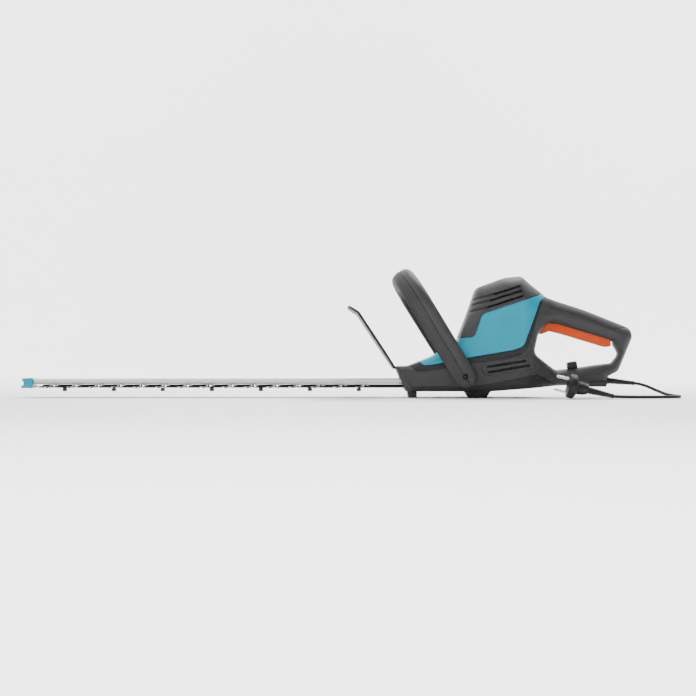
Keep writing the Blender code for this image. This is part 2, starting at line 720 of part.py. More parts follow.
def loop_line():
    """The loop's middle line (across, up), from one leg's end over the crossbar to the other."""
    end = -LOOP_DEPTH + 0.25
    corners = [
        (LEG_Y, end, 0), (LEG_Y, FLARE_START, 60), (CROSSBAR_Y, LOOP_HEIGHT, LOOP_CORNER),
        (-CROSSBAR_Y, LOOP_HEIGHT, LOOP_CORNER), (-LEG_Y, FLARE_START, 60), (-LEG_Y, end, 0),
    ]
    line = outline(corners, 22.0)
    ends = [math.dist(point, corners[-1][:2]) for point in line]
    line = line[: ends.index(min(ends)) + 1]
    extra = [-LOOP_DEPTH * share for share in (0.94, 0.8, 0.55, 0.0)]
    line[1:1] = [(LEG_Y, up) for up in extra]
    line[-1:-1] = [(-LEG_Y, up) for up in reversed(extra)]
    return line


def loop_half(name, side):
    """One of the loop's two mouldings: side -1 is the front one, 1 the rear one."""
    line = loop_line()
    stations = []
    for k, (y, up) in enumerate(line):
        before, after = line[max(k - 1, 0)], line[min(k + 1, len(line) - 1)]
        along = Vector((after[0] - before[0], after[1] - before[1])).normalized()
        outward = Vector((along.y, -along.x))
        depth = math.sqrt(LOOP_DEPTH**2 - min(0.0, up) ** 2)
        share = float(smooth_step(45, LOOP_HEIGHT - 8, np.array([up]))[0])
        half = (LEG_THICKNESS + (CROSSBAR_THICKNESS - LEG_THICKNESS) * share) / 2
        ring = []
        for step in range(9):
            turn = math.pi * (step / 8 - 0.5)
            reach = GAP / 2 + (depth - GAP / 2) * math.cos(turn) ** 0.78
            shift = half * math.copysign(abs(math.sin(turn)) ** 0.78, turn)
            ring.append(loop_point(y + outward.x * shift, up + outward.y * shift, side * max(reach, GAP / 2)))
        stations.append(ring)
    half_loop = swept(name, stations)
    low_up = LOOP_HEIGHT - CROSSBAR_THICKNESS / 2 - 12
    corners = [(-SWITCH_BAR_HALF_LENGTH - 1.5, low_up), (SWITCH_BAR_HALF_LENGTH + 1.5, low_up),
               (SWITCH_BAR_HALF_LENGTH + 1.5, LOOP_HEIGHT), (-SWITCH_BAR_HALF_LENGTH - 1.5, LOOP_HEIGHT)]
    carve(half_loop, loop_block("switch_slot", corners, SWITCH_BAR_DEPTH + 0.6))
    for across in (-1, 1):
        ends = sorted((across * (LEG_Y - LEG_THICKNESS), across * (LEG_Y + LEG_THICKNESS)))
        carve(half_loop, pin_along_y("screw_hole", PIVOT_SCREW_RADIUS + GAP, *ends, PIVOT, 12))
        head = sorted((across * LEG_Y, across * (LEG_Y + LEG_THICKNESS)))
        carve(half_loop, pin_along_y("head_hole", PIVOT_HEAD_RADIUS + GAP, *head, PIVOT, 16))
    return half_loop


def loop_block(name, corners, depth):
    """A block with its outline in the loop's plane, equally deep on both sides of it."""
    stations = [[loop_point(y, up, out) for y, up in corners] for out in (-depth, depth)]
    return swept(name, stations)


def make_front_handle():
    finish(loop_half("front_handle_front", -1), "soft_grip")
    finish(loop_half("front_handle_rear", 1), "graphite")


def make_switch_bar():
    """The second switch: a bar along the crossbar's inner side that is squeezed into it."""
    top = LOOP_HEIGHT - CROSSBAR_THICKNESS / 2 + SWITCH_BAR_TRAVEL
    low = top - SWITCH_BAR_TRAVEL - SWITCH_BAR_PROUD
    half = SWITCH_BAR_HALF_LENGTH
    corners = outline([(-half, low, 6), (half, low, 6), (half, top, 1), (-half, top, 1)])
    bar = finish(loop_block("front_switch_bar", corners, SWITCH_BAR_DEPTH), "black")
    set_origin(bar, loop_point(0, top, 0))
    return bar


def make_pivot_screws():
    for name, side in (("handle_screw_left", -1), ("handle_screw_right", 1)):
        head = sorted((side * (LEG_Y + GAP), side * (LEG_Y + 3.4)))
        screw = pin_along_y(name, PIVOT_HEAD_RADIUS, *head, PIVOT, 14)
        shank = sorted((side * (SCREW_DEPTH + GAP), side * (LEG_Y + 1.0)))
        carve(screw, pin_along_y("shank", PIVOT_SCREW_RADIUS, *shank, PIVOT, 10), "UNION")
        finish(screw, "steel")


# ---- Blade assembly ---------------------------------------------------------------------------------------


def bolt_places():
    return [FIRST_BOLT_X + BOLT_PITCH * k for k in range(BOLT_COUNT)]


def tooth_places():
    return [FIRST_TOOTH_X + TOOTH_PITCH * k for k in range(TOOTH_COUNT)]


def blade_outline(shift):
    """One blade: toothed on both sides along the bar, plain in the housing, with a yoke at its tail."""
    yoke_front = GEAR_X - CAM_RADIUS - CAM_THROW - BLADE_TRAVEL - 6
    yoke_back = GEAR_X + CAM_RADIUS + CAM_THROW + BLADE_TRAVEL + 6
    yoke_half = CAM_RADIUS + CAM_THROW + 5.5
    edge = [(BLADE_TIP_X, BLADE_HALF_WIDTH - 5), (BLADE_TIP_X + 5, BLADE_HALF_WIDTH)]
    for x in tooth_places():
        edge += [(x - TOOTH_ROOT, BLADE_HALF_WIDTH), (x - TOOTH_TIP, TOOTH_REACH),
                 (x + TOOTH_TIP, TOOTH_REACH), (x + TOOTH_ROOT, BLADE_HALF_WIDTH)]
    edge += [(yoke_front - 8, BLADE_HALF_WIDTH), (yoke_front, yoke_half), (yoke_back, yoke_half)]
    near = [(x + shift, -y) for x, y in edge]
    far = [(x + shift, y) for x, y in reversed(edge)]
    return near + far


def make_blade(name, levels, shift):
    loops = [blade_outline(shift)]
    for x in bolt_places():
        ends = [(x + shift + way * BLADE_TRAVEL, 0) for way in (-1, 1)]
        loops.append(stadium(*ends, BOLT_RADIUS + BOLT_SLOT_GAP, 4))
    reach_x = CAM_RADIUS + CAM_THROW + BLADE_TRAVEL + 1.0
    reach_y = CAM_RADIUS + CAM_THROW + 0.8
    window = [(GEAR_X + shift + i * reach_x, j * reach_y, 6) for i, j in ((-1, -1), (1, -1), (1, 1), (-1, 1))]
    loops.append(outline(window))
    blade = finish(plate(name, loops, *levels), "steel", smooth=False)
    set_origin(blade, (shift, 0, levels[0]))


def make_bar():
    """The aluminium guide bar and the steel strip that the blades slide under."""
    holes = [circle((x, 0), BOLT_RADIUS + GAP, 10) for x in bolt_places()]
    bar = [(BAR_TIP_X, -BAR_HALF_WIDTH), (BAR_TAIL_X, -BAR_HALF_WIDTH),
           (BAR_TAIL_X, BAR_HALF_WIDTH), (BAR_TIP_X, BAR_HALF_WIDTH)]
    finish(plate("guide_bar", [bar] + holes, *BAR_Z), "aluminium", smooth=False)
    tab_x = TIP_GUARD[0][0] + 5.5
    tab_half = STRIP_HALF_WIDTH - 5
    strip = [(tab_x, -tab_half), (BAR_TIP_X, -tab_half), (BAR_TIP_X, -STRIP_HALF_WIDTH),
             (BAR_TAIL_X, -STRIP_HALF_WIDTH), (BAR_TAIL_X, STRIP_HALF_WIDTH), (BAR_TIP_X, STRIP_HALF_WIDTH),
             (BAR_TIP_X, tab_half), (tab_x, tab_half)]
    tip_hole = circle((TIP_SCREW_X, 0), TIP_SCREW_RADIUS + GAP, 10)
    finish(plate("guide_strip", [strip] + holes + [tip_hole], *STRIP_Z), "steel", smooth=False)


def make_blade_bolts():
    neck = LOWER_BLADE_Z[0] - GAP
    profile = [
        (0, BOLT_HEAD_LOW_Z), (BOLT_HEAD_RADIUS - 0.6, BOLT_HEAD_LOW_Z),
        (BOLT_HEAD_RADIUS, BOLT_HEAD_LOW_Z + 0.8),
        (BOLT_HEAD_RADIUS, neck), (BOLT_RADIUS, neck), (BOLT_RADIUS, BAR_Z[1] - 0.6), (0, BAR_Z[1] - 0.6),
    ]
    for number, x in enumerate(bolt_places(), 1):
        finish(turned(f"blade_bolt_{number}", profile, 10, (x, 0)), "steel")


def make_tip_guard():
    guard = side_plate("tip_guard", TIP_GUARD, -TIP_GUARD_HALF_WIDTH, TIP_GUARD_HALF_WIDTH)
    low = (TIP_X + 5.5 - GAP, -STRIP_HALF_WIDTH + 5 - GAP, STRIP_Z[0] - GAP)
    high = (TIP_X + 30, STRIP_HALF_WIDTH - 5 + GAP, STRIP_Z[1] + GAP)
    carve(guard, box("slot", low, high))
    place = (TIP_SCREW_X, 0)
    carve(guard, cylinder("hole", TIP_SCREW_RADIUS + GAP, 5, 40, 12, place))
    carve(guard, cylinder("counterbore", TIP_SCREW_HEAD + GAP, TIP_SCREW_Z[1] - GAP, 40, 12, place))
    finish(guard, "turquoise")
    low, seat, top = TIP_SCREW_Z
    profile = [
        (0, low), (TIP_SCREW_RADIUS, low), (TIP_SCREW_RADIUS, seat), (TIP_SCREW_HEAD, seat),
        (TIP_SCREW_HEAD, top),
        (0, top),
    ]
    finish(turned("tip_guard_screw", profile, 12, place), "steel")


# ---- Drive ------------------------------------------------------------------------------------------------


def gear_outline(centre, teeth, phase):
    """Straight-sided teeth with backlash and root clearance."""
    pitch = GEAR_MODULE * teeth / 2
    tooth = 2 * math.pi / teeth
    points = []
    for k in range(teeth):
        middle = phase + k * tooth
        for radius, share in ((pitch - 1.25 * GEAR_MODULE, -0.33), (pitch + 0.8 * GEAR_MODULE, -0.09),
                              (pitch + 0.8 * GEAR_MODULE, 0.09), (pitch - 1.25 * GEAR_MODULE, 0.33)):
            turn = middle + share * tooth
            points.append((centre[0] + radius * math.cos(turn), centre[1] + radius * math.sin(turn)))
    return points


def make_drive():
    """Gear, eccentric and shaft below the motor, on the plate that the bar is bolted to."""
    axis = (GEAR_X, 0)
    bore = GEAR_SHAFT_RADIUS + GAP
    gear = plate("drive_gear", [gear_outline(axis, GEAR_TEETH, 0), circle(axis, bore, 16)], *GEAR_Z)
    finish(gear, "steel", smooth=False)
    set_origin(gear, (GEAR_X, 0, GEAR_Z[0]))
    shaft = cylinder("gear_shaft", GEAR_SHAFT_RADIUS, *GEAR_SHAFT_Z, 16, axis)
    finish(shaft, "steel")
    set_origin(shaft, (GEAR_X, 0, 0))
    upper = cylinder("eccentric", CAM_RADIUS, 16.2, 18.4, 20, (GEAR_X - CAM_THROW, 0))
    carve(upper, cylinder("lower_cam", CAM_RADIUS, 13.8, 15.9, 20, (GEAR_X + CAM_THROW, 0)), "UNION")
    carve(upper, cylinder("web", CAM_RADIUS - 1.5, 15.0, 18.7, 20, axis), "UNION")
    link = stadium((GEAR_X - CAM_THROW, 0), (GEAR_X + CAM_THROW, 0), 3.5, 5)
    carve(upper, plate("link", [link], 15.5, 16.8), "UNION")
    finish(upper, "steel")
    set_origin(upper, (GEAR_X, 0, 13.8))
    low, top = PLATE_Z[0], GEAR_BEARING_TOP_Z
    ring = [(bore, low), (GEAR_BEARING_RADIUS, low), (GEAR_BEARING_RADIUS, top), (bore, top)]
    finish(turned("gear_bearing", ring, 18, axis), "brass")
    corners = [(134, -24, 6), (GEAR_X - 14, -29, 20), (GEAR_X + 22, -29, 20), (GEAR_X + 22, 29, 20),
               (GEAR_X - 14, 29, 20), (134, 24, 6)]
    loops = [outline(corners), circle(axis, GEAR_BEARING_RADIUS + GAP, 18)]
    finish(plate("gear_plate", loops, *PLATE_Z), "aluminium", smooth=False)


def make_motor():
    """Vertical universal motor: stator, rotor, commutator, brushes, fan, bearings and pinion."""
    axis = (MOTOR_X, 0)
    shaft, bore = ROTOR_SHAFT_RADIUS, ROTOR_SHAFT_RADIUS + GAP
    low, top = STATOR_Z
    ring = [(STATOR_BORE, low), (STATOR_RADIUS, low), (STATOR_RADIUS, top), (STATOR_BORE, top)]
    finish(turned("stator", ring, 28, axis), "steel")
    core_low, core_high = STATOR_Z[0] + 4, STATOR_Z[1] - 4
    low, top = ROTOR_Z
    winding = CORE_RADIUS - 4
    profile = [
        (0, low), (shaft, low), (shaft, core_low - 5), (winding, core_low - 5), (winding + 1, core_low),
        (CORE_RADIUS, core_low), (CORE_RADIUS, core_high), (winding + 1, core_high),
        (winding, core_high + 5), (shaft, core_high + 5), (shaft, top), (0, top),
    ]
    finish(turned("rotor", profile, 20, axis), "copper")
    rings = {
        "commutator": ([(bore, COMMUTATOR_Z[0]), (COMMUTATOR_RADIUS, COMMUTATOR_Z[0]),
                        (COMMUTATOR_RADIUS, COMMUTATOR_Z[1]), (bore, COMMUTATOR_Z[1])], "copper"),
        "lower_bearing": ([(bore, 66.5), (11, 66.5), (11, 72), (bore, 72)], "nickel"),
        "upper_bearing": ([(bore, 157), (9.5, 157), (9.5, 163), (bore, 163)], "nickel"),
    }
    for name, (ring, material) in rings.items():
        finish(turned(name, ring, 18, axis), material)
    pinion = plate("pinion", [gear_outline(axis, PINION_TEETH, math.pi / PINION_TEETH + math.pi),
                              circle(axis, bore, 12)], GEAR_Z[0] - 1, GEAR_Z[1] + 1)
    finish(pinion, "brass", smooth=False)
    fan_loop = []
    for k in range(FAN_BLADES):
        turn = 2 * math.pi * k / FAN_BLADES
        for radius, shift in ((11, -0.18), (FAN_RADIUS, 0.05), (FAN_RADIUS, 0.16), (11, 0.02)):
            point = turn + shift
            fan_loop.append((MOTOR_X + radius * math.cos(point), radius * math.sin(point)))
    fan = plate("fan", [fan_loop, circle(axis, bore, 12)], *FAN_Z)
    carve(fan, turned("disc", [(bore, FAN_Z[1] - 2), (FAN_RADIUS, FAN_Z[1] - 2), (FAN_RADIUS, FAN_Z[1] - 0.4),
                               (bore, FAN_Z[1] - 0.4)], 27, axis), "UNION")
    finish(fan, "black", smooth=False)
    middle_z = sum(COMMUTATOR_Z) / 2
    for name, side in (("brush_left", -1), ("brush_right", 1)):
        ends = sorted((side * (COMMUTATOR_RADIUS + GAP), side * (COMMUTATOR_RADIUS + 16)))
        finish(box(name, (MOTOR_X - 4, ends[0], middle_z - 4), (MOTOR_X + 4, ends[1], middle_z + 4)), "brass")
    for name in ("rotor", "commutator", "pinion", "fan"):
        set_origin(bpy.data.objects[name], (MOTOR_X, 0, 40))
    front, back, half = MOTOR_X - 29, MOTOR_X + 26, 26
    bracket = outline([(front, -half, 8), (back, -half, 8), (back, half, 8), (front, half, 8)])
    plate_loops = [bracket, circle(axis, 11 + GAP, 18)]
    finish(plate("motor_bracket", plate_loops, 67, 71.5), "aluminium", smooth=False)


# ---- Trigger, switch and small parts -----------------------------------------------------------------------


def make_trigger():
    hole = circle(TRIGGER_PIVOT, TRIGGER_PIN_RADIUS + GAP, 12)
    trigger = plate("trigger", [outline(TRIGGER), hole], -TRIGGER_HALF_WIDTH, TRIGGER_HALF_WIDTH, "XZ")
    finish(trigger, "orange")
    set_origin(trigger, (TRIGGER_PIVOT[0], 0, TRIGGER_PIVOT[1]))
    finish(pin_along_y("trigger_pin", TRIGGER_PIN_RADIUS, -PIN_HALF, PIN_HALF, TRIGGER_PIVOT, 12), "steel")


def make_trigger_spring():
    """The coil spring that pushes the trigger back down."""
    x, low, high = SPRING_PLACE
    radius, wire, turns = SPRING_COIL
    curve = bpy.data.curves.new("trigger_spring", "CURVE")
    curve.dimensions = "3D"
    curve.bevel_depth = wire * MM
    curve.bevel_resolution = 0
    curve.use_fill_caps = True
    spline = curve.splines.new("POLY")
    count = turns * 10
    spline.points.add(count)
    for k, point in enumerate(spline.points):
        turn = 2 * math.pi * k / 10
        place = (x + radius * math.cos(turn), radius * math.sin(turn), low + (high - low) * k / count)
        point.co = (*(c * MM for c in place), 1)
    spring = bpy.data.objects.new("trigger_spring", curve)
    bpy.context.collection.objects.link(spring)
    curve.materials.append(material_of("steel"))


def make_small_parts():
    finish(box("switch_body", *SWITCH_BODY), "black")
    finish(cylinder("capacitor", CAPACITOR_RADIUS, *CAPACITOR_Z, 14, (CAPACITOR_X, 0)), "black")
    hook = side_plate("cable_hook", CABLE_HOOK, -CABLE_HOOK_HALF_WIDTH, CABLE_HOOK_HALF_WIDTH)
    carve(hook, body_solid("clearance", -GAP))
    finish(hook, "black")
    for number, (x, z) in enumerate(CASE_SCREWS, 1):
        top = screw_y(x, z)
        screw = pin_along_y(f"case_screw_{number}", CASE_SCREW_HEAD, top - 2.6, top, (x, z), 8)
        carve(screw, pin_along_y("shank", CASE_SCREW_RADIUS, -SCREW_REACH, top - 1.5, (x, z), 6), "UNION")
        finish(screw, "steel")


# ---- Cord and plug ----------------------------------------------------------------------------------------


def along_axis(name, profile, start, direction, sides=16):
    """A turned piece whose axis starts at a point and runs in a direction."""
    piece = turned(name, profile, sides)
    turn = Vector((0, 0, 1)).rotation_difference(Vector(direction).normalized()).to_matrix().to_4x4()
    piece.data.transform(Matrix.Translation(Vector(start) * MM) @ turn)
    return piece


def make_cord_sleeve():
    """Tapered bend relief, from its seat in the rear foot to where the cord leaves it."""
    start, end = Vector(SLEEVE_START), Vector(SLEEVE_END)
    direction = (end - start).normalized()
    length = (end - start).length
    bore = CORD_DIAMETER / 2 + GAP
    profile = [
        (bore, length - 6), (bore, length), (3.1, length), (5.0, 0), (5.0, -10), (0, -10),
        (0, length - 6),
    ]
    finish(along_axis("cord_sleeve", profile, start, direction), "black")


def smooth_route(points, count):
    """Points of a smooth curve through the route's own points."""
    route = [Vector(p) for p in points]
    ends = [2 * route[0] - route[1]] + route + [2 * route[-1] - route[-2]]
    found = []
    for k in range(count):
        t = k / (count - 1) * (len(route) - 1)
        i = min(int(t), len(route) - 2)
        a, b, c, d = ends[i : i + 4]
        t -= i
        cubic = (3 * b - a - 3 * c + d) * t**3
        found.append(0.5 * (2 * b + (c - a) * t + (2 * a - 5 * b + 4 * c - d) * t**2 + cubic))
    return found


def make_cord():
    curve = bpy.data.curves.new("power_cord", "CURVE")
    curve.dimensions = "3D"
    curve.bevel_depth = CORD_DIAMETER / 2 * MM
    curve.bevel_resolution = 2
    curve.use_fill_caps = True
    spline = curve.splines.new("POLY")
    points = smooth_route(CORD_ROUTE, 30)
    spline.points.add(len(points) - 1)
    for point, place in zip(spline.points, points):
        point.co = (*(place * MM), 1)
    cord = bpy.data.objects.new("power_cord", curve)
    bpy.context.collection.objects.link(cord)
    curve.materials.append(material_of("black"))


def make_plug():
    """Flat-flange plug with two round pins, lying on its flange and on the end of its relief."""
    start = Vector(CORD_ROUTE[-1])
    tilt = math.radians(PLUG_TILT)
    direction = Vector((-math.cos(tilt), 0, math.sin(tilt)))
    flange_start = PLUG_RELIEF + PLUG_BODY
    face = flange_start + PLUG_FLANGE
    start += direction * 2 * GAP
    profile = [
        (0, 0), (3.3, 0), (5.6, PLUG_RELIEF), (8.5, PLUG_RELIEF + 4), (9.5, flange_start - 3),
        (PLUG_FLANGE_RADIUS - 2, flange_start), (PLUG_FLANGE_RADIUS, flange_start + 2.5),
        (PLUG_FLANGE_RADIUS, face - 2), (PLUG_FLANGE_RADIUS - 1.5, face), (0, face),
    ]
    finish(along_axis("plug", profile, start, direction, 20), "black")
    side = Vector((math.sin(tilt), 0, math.cos(tilt)))
    for name, sign in (("plug_pin_lower", -1), ("plug_pin_upper", 1)):
        foot = start + direction * (face + GAP) + side * sign * PIN_SPACING / 2
        end = PIN_LENGTH
        pin = [(0, 0), (PIN_RADIUS, 0), (PIN_RADIUS, end - 1), (PIN_RADIUS - 0.8, end), (0, end)]
        finish(along_axis(name, pin, foot, direction, 12), "nickel")


def main():
    for obj in list(bpy.data.objects):
        bpy.data.objects.remove(obj)
    make_housing()
    make_hood()
    make_rear_grip()
    make_bottom_cover()
    make_guard_collar()
    make_hand_guard()
    make_front_handle()
    make_switch_bar()
    make_pivot_screws()
    make_blade("upper_blade", UPPER_BLADE_Z, BLADE_REST_SHIFT)
    make_blade("lower_blade", LOWER_BLADE_Z, -BLADE_REST_SHIFT)
    make_bar()
    make_blade_bolts()
    make_tip_guard()
    make_drive()
    make_motor()
    make_trigger()
    make_trigger_spring()
    make_small_parts()
    make_cord_sleeve()
    make_cord()
    make_plug()


main()
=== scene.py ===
"""Looks of the corded hedge trimmer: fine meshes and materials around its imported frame.

Sizes are in millimetres and MM turns them into metres. +X runs from the blade tip to the rear handle
and +Z is up.
"""

import math

import bmesh
import bpy
import numpy as np
from mathutils import Matrix, Vector
from mathutils.geometry import delaunay_2d_cdt


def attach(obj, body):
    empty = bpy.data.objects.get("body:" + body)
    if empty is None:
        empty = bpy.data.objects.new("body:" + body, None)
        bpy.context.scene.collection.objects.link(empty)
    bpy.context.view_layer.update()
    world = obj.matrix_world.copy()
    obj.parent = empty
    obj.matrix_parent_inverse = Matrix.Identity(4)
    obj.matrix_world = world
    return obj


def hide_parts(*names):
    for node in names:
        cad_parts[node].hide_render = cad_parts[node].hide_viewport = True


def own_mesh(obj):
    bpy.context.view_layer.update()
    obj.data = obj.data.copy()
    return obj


bl_info = {
    "name": "Hedge Trimmer Looks",
    "version": (1, 0, 0),
    "blender": (4, 5, 0),
    "location": "3D View > Sidebar > Trimmer",
    "description": "Builds the visible pieces, materials and stage of a corded hedge trimmer",
    "category": "Object",
}

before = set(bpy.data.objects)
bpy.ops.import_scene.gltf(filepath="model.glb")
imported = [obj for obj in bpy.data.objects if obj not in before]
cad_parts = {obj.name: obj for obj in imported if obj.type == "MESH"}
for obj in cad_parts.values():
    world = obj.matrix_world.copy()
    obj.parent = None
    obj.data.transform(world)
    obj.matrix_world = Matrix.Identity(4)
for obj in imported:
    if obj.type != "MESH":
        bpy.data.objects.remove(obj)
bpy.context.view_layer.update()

MM = 0.001
GAP = 0.3
ARC_DEGREES = 8.0  # turn between two points of an arc

# ---- Moulded body: corners (x, z, fillet radius) of its side view -----------------------------------
REAR_END_X = 455.3
DOME_TOP_Z = 178.2
UNDERSIDE_Z = 8.9
BODY = [
    (115.4, UNDERSIDE_Z, 3), (240, 9.2, 100), (341, 16.8, 60), (412, 19.5, 4), (415.8, 30.8, 2),
    (430.5, 38, 13), (REAR_END_X, 98.7, 15), (380, 128.8, 150), (323, 147, 16), (285.5, DOME_TOP_Z, 7),
    (262, 176.3, 60), (219.5, 161, 13), (192, 82, 12), (155, 60.5, 70), (118.6, 45.9, 20), (99.3, 45.9, 3),
]
GRIP_OPENING = [
    (309.5, 92, 14), (325.5, 109.3, 6), (420.5, 80.5, 3), (429.5, 63.5, 7), (420, 50.5, 8),
    (396.6, 47.6, 60), (338, 39.5, 14), (302.5, 64.5, 12),
]
# Regions that cut the body into its mouldings.
COLLAR_REGION = [(90, 55, 0), (90, 0, 0), (126.3, 0, 0), (126.3, 9.6, 0), (118.4, 25.2, 3), (104, 55, 0)]
COVER_REGION = [
    (126.6, 0, 0), (345, 0, 0), (338.9, 17.8, 2), (306, 34.6, 12), (245, 21, 60), (205, 16.4, 60),
    (123.6, 15.6, 0), (126.6, 9.6, 0),
]
HOOD_REGION = [
    (141, 47, 6), (160, 49.3, 60), (204, 58.3, 60), (272, 69.9, 30), (286, 75, 12), (311, 141, 6),
    (325, 151.5, 0), (331, 161, 0), (318, 166, 0), (313.2, 150.4, 2), (226, 121.5, 13), (215, 88.3, 9),
    (191, 86, 0), (180, 96, 0), (130, 70, 0), (136.3, 53, 4),
]
GRIP_REGION = [
    (325.5, 132.6, 4), (367, 121.4, 200), (423, 98.6, 7), (437, 102, 4), (458, 108, 0), (455, 130, 0),
    (330, 168, 0), (324.4, 147, 0),
]
HALF_WIDTHS = [(99, 32.0), (200, 37.5), (248, 41.0), (285, 40.0), (345, 17.5)]  # (x, half width)
EDGE_RADIUS = 9.0  # rounding of the body's long edges
DOME_RADIUS = 29.0  # the same at the dome over the motor
SKIN = 2.4  # hood and grip overlay
POCKET_GAP = 0.8  # below an overlay
WALL = 2.3  # housing wall

# ---- Vent slots: (front x, z) and (rear x, z) of each slot's middle line ------------------------------
DOME_VENTS = [((243, 150.6), (280.5, 162.4)), ((238.5, 141.8), (283, 155.7)), ((236, 132.2), (285, 148.2))]
SIDE_VENTS = [((234, 45.3), (288.5, 53.8)), ((235.5, 37.3), (293, 47.2))]
DOME_VENT_WIDTH = 3.0
SIDE_VENT_WIDTH = 3.7

# ---- Feet ----------------------------------------------------------------------------------------------
MID_FOOT = [(203, 10.5, 0), (203, 8.9, 0), (209, 0, 1), (233.6, 0, 1), (239.6, 8.9, 0), (239.6, 10.5, 0)]
MID_FOOT_HALF_WIDTH = 26.0
FRONT_FOOT = [
    (118, 10.2, 0), (119.8, 0, 1), (131.8, 0, 1), (132.6, 8.4, 0), (124.6, 8.4, 0), (124.6, 10.2, 0),
]
FRONT_FOOT_HALF_WIDTH = 20.0
REAR_FOOT = [(384, 24, 0), (386.5, 15.4, 2), (411.5, 15.4, 2), (413.5, 24, 0)]
REAR_FOOT_HALF_WIDTH = 12.0

# ---- Blades, guide bar and their bolts -----------------------------------------------------------------
TIP_X = -450.0
BAR_TIP_X = -432.2
BAR_TAIL_X = 185.0
BAR_HALF_WIDTH = 11.0
BAR_Z = (21.4, 27.7)
STRIP_HALF_WIDTH = 15.0
STRIP_Z = (18.7, 21.1)
UPPER_BLADE_Z = (16.4, 18.4)
LOWER_BLADE_Z = (14.0, 16.1)
BLADE_TIP_X = -424.0
BLADE_HALF_WIDTH = 13.0
TOOTH_PITCH = 32.56
TOOTH_COUNT = 15
FIRST_TOOTH_X = -403.8
TOOTH_REACH = 30.0  # tip of a tooth from the middle line
TOOTH_ROOT = 8.0  # half width of a tooth at its root
TOOTH_TIP = 3.2
BLADE_TRAVEL = 8.0  # each way
BLADE_REST_SHIFT = 4.0  # how far the blades stand from mid stroke
BOLT_PITCH = 72.5
BOLT_COUNT = 7
FIRST_BOLT_X = -387.8
BOLT_RADIUS = 2.5
BOLT_SLOT_GAP = 0.5
BOLT_HEAD_RADIUS = 3.3
BOLT_HEAD_LOW_Z = 8.7

# ---- Tip guard -----------------------------------------------------------------------------------------
TIP_GUARD = [
    (TIP_X, 13.6, 1), (-432.5, 13.6, 1), (-432.5, 28.1, 1), (-447, 28.1, 1), (-448, 25.5, 0), (-445, 22, 2),
    (-445, 18.5, 2), (TIP_X, 15.5, 0),
]
TIP_GUARD_HALF_WIDTH = 17.5
TIP_SCREW_X = -440.0
TIP_SCREW_RADIUS = 2.0

# ---- Hand guard: middle line (x, z) from the collar to the curled lip ----------------------------------
GUARD_LINE = [(99.2, 42.6, 0), (45.6, 123.6, 7), (31.2, 132.8, 0)]
GUARD_THICKNESS = 3.2
GUARD_FOOT_HALF_WIDTH = 44.0
GUARD_HALF_WIDTH = 76.0
GUARD_CORNER = 26.0

# ---- Front loop handle ---------------------------------------------------------------------------------
PIVOT = (200.5, 31.1)
LOOP_TOP = (113.5, 172.3)  # middle of the crossbar
LOOP_DEPTH = 16.2  # half depth of the band in side view
LEG_Y = 46.2  # middle of a leg at the pivot
LEG_THICKNESS = 13.0
CROSSBAR_Y = 69.0  # where the legs' lines meet the crossbar's
CROSSBAR_THICKNESS = 29.0
LOOP_CORNER = 42.0
FLARE_START = 28.0  # distance from the pivot at which a leg starts to flare
SWITCH_BAR_HALF_LENGTH = 42.0
SWITCH_BAR_DEPTH = 8.5
SWITCH_BAR_PROUD = 7.0
SWITCH_BAR_TRAVEL = 5.0
PIVOT_SCREW_RADIUS = 2.2
PIVOT_HEAD_RADIUS = 3.4
PIVOT_BOSS_RADIUS = 12.0
PAD_DEPTH = 33.0  # inner end of the post that a leg bears on
SCREW_DEPTH = 30.5  # inner end of a pivot screw's hole

# ---- Trigger -------------------------------------------------------------------------------------------
TRIGGER = [
    (311.5, 90.8, 2.5), (328.6, 97.2, 8), (345, 93.2, 60), (410.5, 73.6, 6), (419.2, 75.2, 3),
    (416.5, 97.5, 4), (400, 97, 4), (330, 111, 3), (321.5, 111, 3),
]
TRIGGER_SLOT = [
    (308, 84, 0), (325, 92, 0), (406, 68, 0), (422.5, 66, 0), (422.5, 101.5, 3), (404, 103.5, 4),
    (331, 128, 3),
    (317, 126.5, 3), (308, 108, 3),
]
TRIGGER_HALF_WIDTH = 9.5
TRIGGER_PIVOT = (408.0, 91.5)
TRIGGER_PIN_RADIUS = 1.5
PIN_HALF = 12.2  # half length of the trigger's pin
CABLE_HOOK = [(355.2, 41.9, 0), (370.2, 44.0, 0), (368.5, 53.3, 1.5), (354.8, 51.1, 1.5)]
CABLE_HOOK_HALF_WIDTH = 6.0


GEAR_X = 221.5  # axis of the drive gear
CAM_RADIUS = 7.0
CAM_THROW = 8.0

# ---- Case screws (x, z) on the far side ------------------------------------------------------------------
CASE_SCREWS = [(141, 40), (304.5, 49), (395, 33), (437.5, 79), (313.5, 131.5), (234.5, 154)]
CASE_SCREW_RADIUS = 1.8
CASE_SCREW_HEAD = 3.2
BOSS_RADIUS = 4.6
SCREW_REACH = 7.0  # how far a case screw goes into the near half

